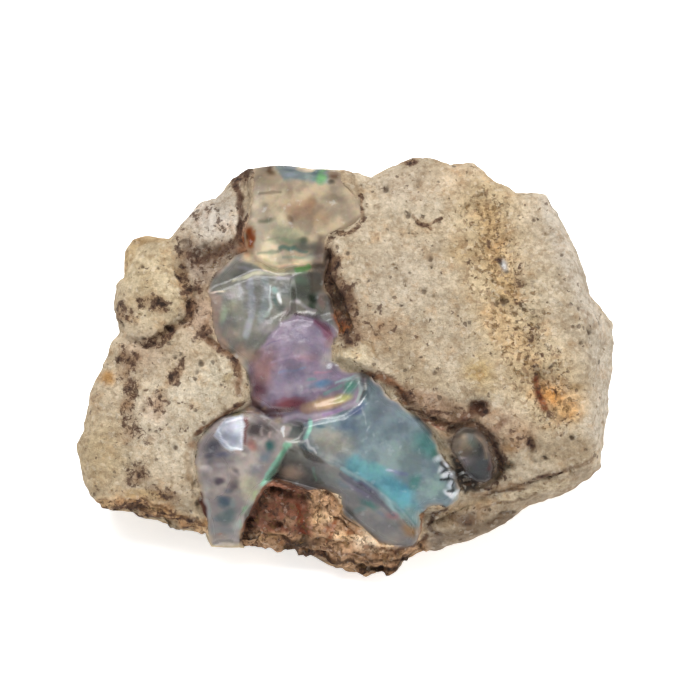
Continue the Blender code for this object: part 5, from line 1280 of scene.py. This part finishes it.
def host_rock():
    """The rock: front and back grids sewn at the outline, grained, pitted, with a pocket for the opal."""
    front, front_inward, front_away, front_index = face_points(ROCK_CELLS)
    u, v, back_inward, rim = spread(ROCK_CELLS // 2)
    back = np.stack([u, v, np.minimum(back_height(u, v), rim - BACK_FALL * back_inward)], -1)
    back_rests = back[..., 2] < ground(v) + GROUND_TOUCH
    lip_away = np.where(back_inward < LIP_REACH, opal_distance(u, v), NO_OPAL)
    back_index = np.arange(u.size).reshape(u.shape) + front_index.size
    quads, triangles = sewn(front_index, back_index)

    points = np.concatenate([front.reshape(-1, 3), back.reshape(-1, 3)])
    inward = np.concatenate([front_inward.ravel(), back_inward.ravel()])
    is_front = np.arange(len(points)) < front_index.size
    resting = np.concatenate([np.zeros(front_index.size, bool), back_rests.ravel()])
    calm = ramp(np.concatenate([front_away.ravel(), lip_away.ravel()]), *GRAIN_BESIDE_OPAL)

    u, v = points[:, 0], points[:, 1]
    drift_u, drift_v = wandered(u, v, points, ROCK_DRIFT)
    below_rim = np.clip(rim_height_beside(drift_u, drift_v) - points[:, 2], 0.0, None)
    face_share = np.where(is_front, 1.0, ease(1.0 - below_rim / FACE_FADE))
    grit = SIDE_GRIT + (amount(drift_u, drift_v, HOST_GRIT) - SIDE_GRIT) * face_share
    stain = SIDE_STAIN + (amount(drift_u, drift_v, HOST_STAINS) - SIDE_STAIN) * face_share

    # the back gets the roughness that the front has already, as the solids have it
    rough = np.where(is_front | resting, 0.0, ease(inward / RIM_ROUND))
    grain, hollow = rock_grain(points, drift_u, drift_v, grit, face_share)
    lift = octaves(points, ROUGHNESS) * rough + np.where(resting, 0.0, grain * calm)
    points = points + surface_normals(points, quads, triangles) * lift[:, None]

    away = np.full(len(points), NO_OPAL)
    away[is_front] = front_away.ravel()
    under_opal = np.clip((-away - OPAL_LAP) / POCKET_WALL, 0.0, 1.0)
    points = let_down(points, u, v, inward, under_opal)
    colour = host_colour(points, drift_u, drift_v, face_share, under_opal)
    stain *= 1.0 - (1.0 - POCKET_STAIN) * under_opal
    values = {"stain": stain, "grit": grit, "hollow": hollow}
    return mesh_piece("host_rock_stone", points, quads, triangles, colour, values, "host_rock")


def rim_height_beside(u, v):
    """w of the outline beside each point, for how far down the sides a point lies."""
    angle = np.arctan2(v - FACE_CENTRE[1], u - FACE_CENTRE[0]) % (2.0 * math.pi)
    return rim_at(angle)[1]


def host_colour(points, u, v, face_share, under_opal):
    """The face's washes, giving way to plain weathered rock down the sides; opal-stained in the pocket; laid
    on lighter, as painted light, where faces turn from the light.
    """
    rock = np.ones((len(u), 3)) * linear(PLAIN_ROCK)
    for tint, noises, start in PLAIN_PATCHES:
        cover = PATCH_COVER * ramp(octaves(points, noises), start, start + PATCH_EDGE)
        rock += (linear(tint) - rock) * cover[:, None]
    face = wash(u, v, linear(ASH_CREAM), HOST_WASHES)
    colour = rock + (face - rock) * face_share[:, None]
    lining = wash(u, v, linear(OPAL_GREY), OPAL_WASHES)
    lining = POCKET_OPAL * lining + (1.0 - POCKET_OPAL) * linear(POCKET_LINING)
    # painted light: faces turned from the light are laid on lighter
    gain = HOST_GAIN * (1.0 + amount(u, v, HOST_PAINTED_LIGHT) * face_share)
    gain = np.minimum(gain, HOST_BRIGHTEST)
    return gain[:, None] * (colour + (lining - colour) * under_opal[:, None])


def opal_body(name, outline, floor, washes, milk, skin_colour, node):
    """A closed body of opal: the lump's face over its outline, dived under the rock's edge, over a pocket.

    The cells kept are those inside the outline and just outside it; walls join the top to the underside
    along their open edges.
    """
    face, inward, away, index = face_points(OPAL_CELLS)
    face, inward, away = face.reshape(-1, 3), inward.ravel(), away.ravel()
    kept = (away < OPAL_OVERLAP) & (outline_distance(face[:, 0], face[:, 1], outline) < OPAL_REACH)
    cells = cells_of(index)
    cells = cells[kept[cells].all(axis=1)]
    edges = np.concatenate([cells[:, [k, (k + 1) % 4]] for k in range(4)])
    forward, backward = edges[:, 0] * index.size + edges[:, 1], edges[:, 1] * index.size + edges[:, 0]
    start, end = edges[~np.isin(forward, backward)].T
    walls = np.stack([end, start, start + index.size, end + index.size], -1)
    quads = np.concatenate([cells, cells[:, ::-1] + index.size, walls])

    top = opal_top(face, away)
    colour, cloudy = opal_colour(face, top, inward, away, washes, milk, skin_colour)
    both = np.concatenate([top, opal_underside(face, top, inward, floor)])
    triangles = np.empty((0, 3), int)
    values = {"milk": np.tile(cloudy, 2)}
    return mesh_piece(name, both, quads, triangles, np.tile(colour, (2, 1)), values, node)


def opal_top(face, away):
    """The face with conchoidal ripples, EDGE_SINK low at the opal's edge and DIVE low under the rock."""
    top = face.copy()
    top[:, 2] += octaves(face, CONCHOIDAL) - EDGE_SINK * ramp(away, *SINKS_AT)
    top[:, 2] -= DIVE * np.clip((away - DIVES_AT[0]) / (DIVES_AT[1] - DIVES_AT[0]), 0.0, 1.0)
    return top


def opal_underside(face, top, inward, floor):
    """The face let down by opal_depth(), with its lip on the outline, and at least THINNEST below the top."""
    bottom = face.copy()
    bottom[:, 2] -= opal_depth(face, inward, floor)
    on_outline = inward < ON_OUTLINE
    bottom[on_outline] = lip(bottom[on_outline])
    bottom[:, 2] = np.minimum(bottom[:, 2], top[:, 2] - THINNEST)
    return bottom


def lip(points):
    """Points of the outline moved in and down to just inside the back, where the opal reaches round it."""
    reach = np.hypot(points[:, 0] - FACE_CENTRE[0], points[:, 1] - FACE_CENTRE[1])
    moved = points.copy()
    moved[:, :2] -= (points[:, :2] - FACE_CENTRE) * (LIP_INWARD / reach)[:, None]
    moved[:, 2] = back_height(moved[:, 0], moved[:, 1]) + LIP_COVER
    return moved


def opal_colour(face, top, inward, away, washes, milk, skin_colour):
    """Colour and cloudiness of the opal: its washes, the rock's skin over its edge, then the weathered rind.

    The washes wander, more so on the steep sides. They are multiplied by a gain that runs from GLASS_GAIN to
    MILK_GAIN with the cloudiness, and by brightness over OPAL_MIDDLE, to the power OPAL_CONTRAST - 1.
    """
    u, v = face[:, 0], face[:, 1]
    drift_u, drift_v = wandered(u, v, top, OPAL_DRIFT, SIDE_DRIFT * ramp(inward, STEEP_SIDE, 0.0))
    cloudy = np.maximum(amount(drift_u, drift_v, milk), EDGE_MILK * ramp(away, *CLOUDS_AT))
    gain = np.array(GLASS_GAIN) + (MILK_GAIN - np.array(GLASS_GAIN)) * cloudy[:, None]
    colour = wash(drift_u, drift_v, linear(OPAL_GREY), washes)
    brightness = colour.mean(axis=1, keepdims=True)
    colour = gain * colour * (brightness / OPAL_MIDDLE) ** (OPAL_CONTRAST - 1.0)

    # the rock's skin laps over the edge, unevenly, and hides the last of the glass
    skin = amount(u, v, OPAL_SKIN) * ramp(away, *SKIN_AT)
    skin *= ease(1.1 + lattice_noise(plane_points(u, v), *SKIN_PATCHES))
    skin = np.maximum(skin, ramp(away, *SKIN_TO_THE_EDGE))
    rock = SKIN_OF_ROCK * wash(drift_u, drift_v, linear(ASH_CREAM), HOST_WASHES)
    rock += SKIN_OF_ITS_OWN * linear(skin_colour)
    colour = np.minimum(colour + (rock - colour) * skin[:, None], OPAL_BRIGHTEST)

    # and the rind comes up from the outline, to a ragged edge
    above_rim = face[:, 2] - rim_height_beside(u, v)
    ragged = RIND_RAGGED * lattice_noise(top, *RIND_PATCHES) * ease(above_rim / RIND_EVEN)
    rind = ramp(above_rim - ragged, *RIND_AT) * ease(1.0 - inward)
    colour += (linear(RIND) - colour) * RIND_COVER * rind[:, None]
    return colour, np.maximum(cloudy, np.maximum(skin, RIND_MILK * rind))


# ---------------------------------------------------------------- materials

NOISE, RANGE = "ShaderNodeTexNoise", "ShaderNodeMapRange"
MIX, MATH = "ShaderNodeMix", "ShaderNodeMath"
SMOOTH = {"interpolation_type": "SMOOTHSTEP"}
BLEND = {"data_type": "RGBA"}
MULTIPLY_BLEND = {"data_type": "RGBA", "blend_type": "MULTIPLY"}
TIMES = {"operation": "MULTIPLY"}
LESS = {"operation": "SUBTRACT"}
MULTIPLY_ADD = {"operation": "MULTIPLY_ADD"}
# A colour mix takes its share at input 0 and its colours at 6 and 7. A range map takes its value at input 0,
# the range it comes from at 1 and 2, and the range it goes to at 3 and 4.
COLOUR_OUT = 2


def add_node(tree, kind, settings=(), inputs=(), output=0):
    """Adds a node with its settings, each input set to a value or linked, and gives back one output."""
    node = tree.nodes.new(kind)
    for name, value in dict(settings).items():
        setattr(node, name, value)
    for name, value in dict(inputs).items():
        if isinstance(value, bpy.types.NodeSocket):
            tree.links.new(value, node.inputs[name])
        else:
            node.inputs[name].default_value = value
    return node.outputs[output] if node.outputs else node


def empty_material(name):
    material = bpy.data.materials.new(name)
    material.use_nodes = True
    material.node_tree.nodes.clear()
    return material, functools.partial(add_node, material.node_tree)


def rgba(hex_colour):
    return (*linear(hex_colour), 1.0)


def per_mm(size):
    """A texture's scale for cells or waves of this size in millimetres."""
    return 1000.0 / size


def weathered_tuff():
    """Weathered rhyolitic tuff, broken by hand: fine ash with broken crystals, gone to clay.

    To the eye it is matt and chalky, cream to buff, with grains of 0.3 to 0.5 mm, some paler and some darker
    than the ash, gaps between them where it crumbles, open pinholes, and dark brown mottles and fine veins
    where iron and manganese have soaked in.
    """
    material, add = empty_material("weathered_tuff")
    place = add("ShaderNodeTexCoord", output="Object")
    tint = add("ShaderNodeAttribute", {"attribute_name": "tint"}, output="Color")
    stain, grit, hollow = (
        add("ShaderNodeAttribute", {"attribute_name": name}, output="Fac")
        for name in ("stain", "grit", "hollow")
    )
    # no grain or pit is a plain round cell: their places wander by a quarter of a millimetre
    wander = add(NOISE, inputs={"Vector": place, "Scale": per_mm(0.6)}, output="Color")
    uneven = add("ShaderNodeVectorMath", MULTIPLY_ADD, {0: wander, 1: (0.0005,) * 3, 2: place})

    # cloudy patches of a few millimetres, a warmer bloom, then the ash's own mottle below a millimetre
    colour = tint
    for size, detail, roughness, start, end, most, shade in (
        (3.2, 4.0, 0.5, 0.35, 0.70, 1.0, "#E2DFDA"),
        (2.1, 5.0, 0.7, 0.50, 0.72, 0.6, "#EFD3B4"),
        (0.9, 6.0, 0.7, 0.45, 0.68, 0.7, "#C8BBAA"),
    ):
        patches = {"Vector": place, "Scale": per_mm(size), "Detail": detail, "Roughness": roughness}
        share = add(RANGE, SMOOTH, {0: add(NOISE, inputs=patches), 1: start, 2: end, 3: 0.0, 4: most})
        colour = add(MIX, MULTIPLY_BLEND, {0: share, 6: colour, 7: rgba(shade)}, COLOUR_OUT)

    # the ash's own fine salt and pepper
    salt = add(NOISE, inputs={"Vector": place, "Scale": per_mm(0.55), "Detail": 5.0, "Roughness": 0.8})
    salt = add(RANGE, inputs={0: salt, 1: 0.3, 2: 0.7, 3: 0.70, 4: 1.27})
    colour = add("ShaderNodeVectorMath", {"operation": "SCALE"}, {0: colour, "Scale": salt})

    # grains of 0.35 mm, a few of them pale crystals and a few dark
    grains = add("ShaderNodeTexVoronoi", inputs={"Vector": uneven, "Scale": per_mm(0.35)}, output="Color")
    draw = add("ShaderNodeSeparateColor", inputs={"Color": grains}).node
    share = add(RANGE, SMOOTH, {0: draw.outputs["Red"], 1: 0.82, 2: 1.0, 3: 0.0, 4: 0.22})
    colour = add(MIX, BLEND, {0: share, 6: colour, 7: rgba("#E6DCCB")}, COLOUR_OUT)
    share = add(RANGE, SMOOTH, {0: draw.outputs["Green"], 1: 0.70, 2: 1.0, 3: 0.0, 4: 0.55})
    share = add(MATH, TIMES, {0: share, 1: grit})
    colour = add(MIX, BLEND, {0: share, 6: colour, 7: rgba("#7E6046")}, COLOUR_OUT)

    # peppery dark gaps between crumbling grains of half a millimetre, where the grit is coarse; the gaps are
    # sunk in the relief and their brown is partly painted shade
    pepper = add(NOISE, inputs={"Vector": uneven, "Scale": per_mm(0.55), "Detail": 3.0, "Roughness": 0.65})
    coarse = add(RANGE, inputs={0: grit, 1: 0.5, 2: 1.2, 3: 0.10, 4: 0.0})
    pepper = add(MATH, LESS, {0: pepper, 1: coarse})
    gap = add(RANGE, SMOOTH, {0: pepper, 1: 0.545, 2: 0.62})
    share = add(MATH, TIMES, {0: gap, 1: 0.66})
    colour = add(MIX, BLEND, {0: share, 6: colour, 7: rgba("#7E5F38")}, COLOUR_OUT)

    # brown soaked mottles: a tea-coloured halo, then dark brown specks, then fine veins
    broad = add(NOISE, inputs={"Vector": place, "Scale": per_mm(2.0), "Detail": 3.0})
    fine = add(NOISE, inputs={"Vector": uneven, "Scale": per_mm(0.8), "Detail": 5.0, "Roughness": 0.62})
    broad = add(RANGE, inputs={0: broad, 1: 0.0, 2: 1.0, 3: -0.9, 4: 0.9})
    fine = add(RANGE, inputs={0: fine, 1: 0.0, 2: 1.0, 3: -2.2, 4: 2.2})
    halo = add(MATH, inputs={0: stain, 1: broad})
    soaked = add(MATH, inputs={0: halo, 1: fine})
    share = add(RANGE, SMOOTH, {0: halo, 1: 0.30, 2: 0.95, 3: 0.0, 4: 0.7})
    colour = add(MIX, MULTIPLY_BLEND, {0: share, 6: colour, 7: rgba("#B49880")}, COLOUR_OUT)
    share = add(RANGE, SMOOTH, {0: soaked, 1: 0.72, 2: 0.96, 3: 0.0, 4: 0.80})
    colour = add(MIX, BLEND, {0: share, 6: colour, 7: rgba("#523A2E")}, COLOUR_OUT)
    share = add(RANGE, SMOOTH, {0: soaked, 1: 1.15, 2: 1.45, 3: 0.0, 4: 0.85})
    colour = add(MIX, BLEND, {0: share, 6: colour, 7: rgba("#261A15")}, COLOUR_OUT)
    veins = add(NOISE, inputs={
        "Vector": uneven, "Scale": per_mm(1.5), "Detail": 3.0, "Roughness": 0.6, "Distortion": 0.6,
    })
    off_vein = add(MATH, LESS, {0: veins, 1: 0.5})
    off_vein = add(MATH, {"operation": "ABSOLUTE"}, {0: off_vein})
    vein_width = add(RANGE, SMOOTH, {0: stain, 1: 0.40, 2: 1.00, 3: 0.0, 4: 0.030})
    vein = add(MATH, LESS, {0: vein_width, 1: off_vein})
    share = add(RANGE, SMOOTH, {0: vein, 1: -0.004, 2: 0.014, 3: 0.0, 4: 0.8})
    colour = add(MIX, BLEND, {0: share, 6: colour, 7: rgba("#4A3227")}, COLOUR_OUT)

    # pinholes up to half a millimetre wide, dark partly with painted shade, dark specks, then the larger
    # pits, darkened by their depth as painted shade
    holes = []
    for cell, channel, least, widest, outer, inner, strength, shade in (
        (1.1, "Blue", 0.55, 0.20, -0.05, 0.06, 0.62, "#5E4736"),
        (1.6, "Red", 0.50, 0.15, -0.03, 0.03, 0.70, "#57493C"),
    ):
        off = add("ShaderNodeTexVoronoi", inputs={"Vector": uneven, "Scale": per_mm(cell)})
        draw = add("ShaderNodeSeparateColor", inputs={"Color": off.node.outputs["Color"]}).node
        radius = add(RANGE, SMOOTH, {0: draw.outputs[channel], 1: least, 2: 1.0, 3: 0.0, 4: widest})
        within = add(MATH, LESS, {0: radius, 1: off})
        holes.append(add(RANGE, SMOOTH, {0: within, 1: outer, 2: inner}))
        share = add(MATH, TIMES, {0: holes[-1], 1: strength})
        colour = add(MIX, BLEND, {0: share, 6: colour, 7: rgba(shade)}, COLOUR_OUT)
    share = add(RANGE, SMOOTH, {0: hollow, 1: 0.3, 2: 0.9, 3: 0.0, 4: 0.7})
    colour = add(MIX, BLEND, {0: share, 6: colour, 7: rgba("#4E3A2C")}, COLOUR_OUT)

    relief = add(NOISE, inputs={"Vector": place, "Scale": per_mm(0.6), "Detail": 8.0, "Roughness": 0.75})
    relief = add(MATH, MULTIPLY_ADD, {0: gap, 1: -0.5, 2: relief})
    relief = add(MATH, MULTIPLY_ADD, {0: holes[0], 1: -0.5, 2: relief})
    bump = add("ShaderNodeBump", inputs={"Height": relief, "Strength": 1.0, "Distance": 0.0006})
    shader = add("ShaderNodeBsdfPrincipled", inputs={
        "Base Color": colour, "Roughness": 0.92, "IOR": 1.5, "Specular IOR Level": 0.25, "Normal": bump,
    })
    add("ShaderNodeOutputMaterial", inputs={"Surface": shader})
    return material


def opal(name, haze, clear, absorption_colour, absorption):
    """Hydrated silica glass, broken conchoidally: clear to milky, with play-of-colour.

    To the eye it is glassy and see-through at its thin edges, cloudy in its depth, with soft clouds of
    colour, fine bright veils, and small flashes. haze is its roughness and clear the share of light it lets
    through.
    """
    material, add = empty_material(name)
    place = add("ShaderNodeTexCoord", output="Object")
    tint = add("ShaderNodeAttribute", {"attribute_name": "tint"}, output="Color")
    milk = add("ShaderNodeAttribute", {"attribute_name": "milk"}, output="Fac")

    # clouds of 2.4 mm, then a mosaic of half-millimetre flecks that each shift the colour a little
    clouds = add(NOISE, inputs={"Vector": place, "Scale": per_mm(2.4), "Detail": 4.0})
    share = add(RANGE, SMOOTH, {0: clouds, 1: 0.38, 2: 0.66, 3: 1.0, 4: 0.0})
    colour = add(MIX, MULTIPLY_BLEND, {0: share, 6: tint, 7: rgba("#C6C7CE")}, COLOUR_OUT)
    flecks = add(NOISE, inputs={"Vector": place, "Scale": per_mm(0.55), "Detail": 4.0}, output="Color")
    flecks = add(MIX, {"data_type": "RGBA", "blend_type": "OVERLAY"},
                 {0: 0.13, 6: colour, 7: flecks}, COLOUR_OUT)
    veils = add(NOISE, inputs={"Vector": place, "Scale": per_mm(0.8), "Detail": 5.0, "Distortion": 0.2})
    share = add(RANGE, SMOOTH, {0: veils, 1: 0.60, 2: 0.76, 3: 0.0, 4: 0.14})
    colour = add(MIX, BLEND, {0: share, 6: flecks, 7: rgba("#E2E8EA")}, COLOUR_OUT)

    ripple = add(NOISE, inputs={"Vector": place, "Scale": per_mm(1.1), "Detail": 3.0})
    bump = add("ShaderNodeBump", inputs={"Height": ripple, "Strength": 0.4, "Distance": 0.0002})
    roughness = add(RANGE, SMOOTH, {0: milk, 1: 0.0, 2: 1.0, 3: haze, 4: 0.6})
    passed = add(RANGE, SMOOTH, {0: milk, 1: 0.0, 2: 0.9, 3: clear, 4: 0.0})
    gloss = add(RANGE, SMOOTH, {0: milk, 1: 0.6, 2: 1.0, 3: 0.5, 4: 0.05})
    shader = add("ShaderNodeBsdfPrincipled", inputs={
        "Base Color": colour, "Roughness": roughness, "IOR": 1.45, "Specular IOR Level": gloss,
        "Transmission Weight": passed, "Normal": bump,
    })
    body = add("ShaderNodeVolumeAbsorption", inputs={"Color": rgba(absorption_colour), "Density": absorption})
    add("ShaderNodeOutputMaterial", inputs={"Surface": shader, "Volume": body})
    return material


def pale_floor():
    """Opal acrylic of a light table: matt white, and softly lit from below."""
    material, add = empty_material("white_light_table")
    shader = add("ShaderNodeBsdfPrincipled", inputs={
        "Base Color": rgba("#F2F2F2"), "Roughness": 0.9, "Specular IOR Level": 0.1,
        "Emission Color": rgba("#FFFFFF"), "Emission Strength": 0.6,
    })
    add("ShaderNodeOutputMaterial", inputs={"Surface": shader})
    return material


rock_piece = host_rock()
seam_piece = opal_body(
    "opal_seam_body", SEAM, SEAM_FLOOR, OPAL_WASHES, OPAL_MILK, "#6E5644", "opal_seam"
)
nodule_piece = opal_body(
    "opal_nodule_body", NODULE, NODULE_FLOOR, NODULE_WASHES, NODULE_MILK, "#3E2C24", "opal_nodule",
)

rock_piece.data.materials.append(weathered_tuff())
seam_piece.data.materials.append(opal("precious_opal", 0.27, 0.40, "#C4D2D8", 120.0))
nodule_piece.data.materials.append(opal("dark_opal", 0.16, 0.35, "#A8ACAC", 200.0))


# ---------------------------------------------------------------- floor, light and camera

FLOOR_SIDE = 3.0  # metres, as the drop is
FLOOR_DROP = 0.00002  # keeps the floor just below the lump's flat base
floor_mesh = bpy.data.meshes.new("floor")
half = FLOOR_SIDE / 2.0
floor_corners = [(-half, -half, 0), (half, -half, 0), (half, half, 0), (-half, half, 0)]
floor_mesh.from_pydata(floor_corners, [], [(0, 1, 2, 3)])
floor = bpy.data.objects.new("floor", floor_mesh)
floor.location.z = -FLOOR_DROP
floor_mesh.materials.append(pale_floor())
bpy.context.scene.collection.objects.link(floor)


def aimed(name, data, place, target, up):
    """Puts a light or camera at a place, looking at the target, with its top towards up."""
    holder = bpy.data.objects.new(name, data)
    back = np.array(place) - target
    back /= np.linalg.norm(back)
    side = np.cross(up, back)
    side /= np.linalg.norm(side)
    turn = mathutils.Matrix(np.column_stack([side, np.cross(back, side), back]).tolist()).to_4x4()
    holder.matrix_world = mathutils.Matrix.Translation(place) @ turn
    bpy.context.scene.collection.objects.link(holder)
    return holder


world = bpy.data.worlds.new("soft_tent")
world.use_nodes = True
world.node_tree.nodes["Background"].inputs["Color"].default_value = (1.0, 1.0, 1.0, 1.0)
world.node_tree.nodes["Background"].inputs["Strength"].default_value = 0.38
bpy.context.scene.world = world

FACE_MIDDLE = to_row((0.0, 0.0, 6.0))
UP_THE_FACE = to_row((0.0, 1.0, 6.0)) - FACE_MIDDLE

# lights: the side in metres, the power in watts, and the place in the face frame
for name, side, power, place in (
    ("softbox", 0.36, 3.6, (-60.0, 330.0, 330.0)),
    ("fill_panel", 0.40, 1.4, (420.0, 60.0, 260.0)),
):
    lamp = bpy.data.lights.new(name, "AREA")
    lamp.size = side
    lamp.energy = power
    aimed(name, lamp, to_row(place), FACE_MIDDLE, UP_THE_FACE)

FOCAL_LENGTH = 300.0
SENSOR = 36.0
WIDTH_SEEN = 70.0  # mm across the picture, at the plane of the face that is looked at
VIEW_CENTRE = (0.0, 1.5)
VIEW_PLANE = 3.5  # w of that plane
camera_data = bpy.data.cameras.new("camera")
camera_data.lens = FOCAL_LENGTH
camera_data.sensor_width = SENSOR
camera_w = VIEW_PLANE + WIDTH_SEEN * FOCAL_LENGTH / SENSOR
camera = aimed(
    "camera", camera_data, to_row((*VIEW_CENTRE, camera_w)), to_row((*VIEW_CENTRE, VIEW_PLANE)), UP_THE_FACE
)
bpy.context.scene.camera = camera
bpy.context.scene.view_settings.view_transform = "Standard"
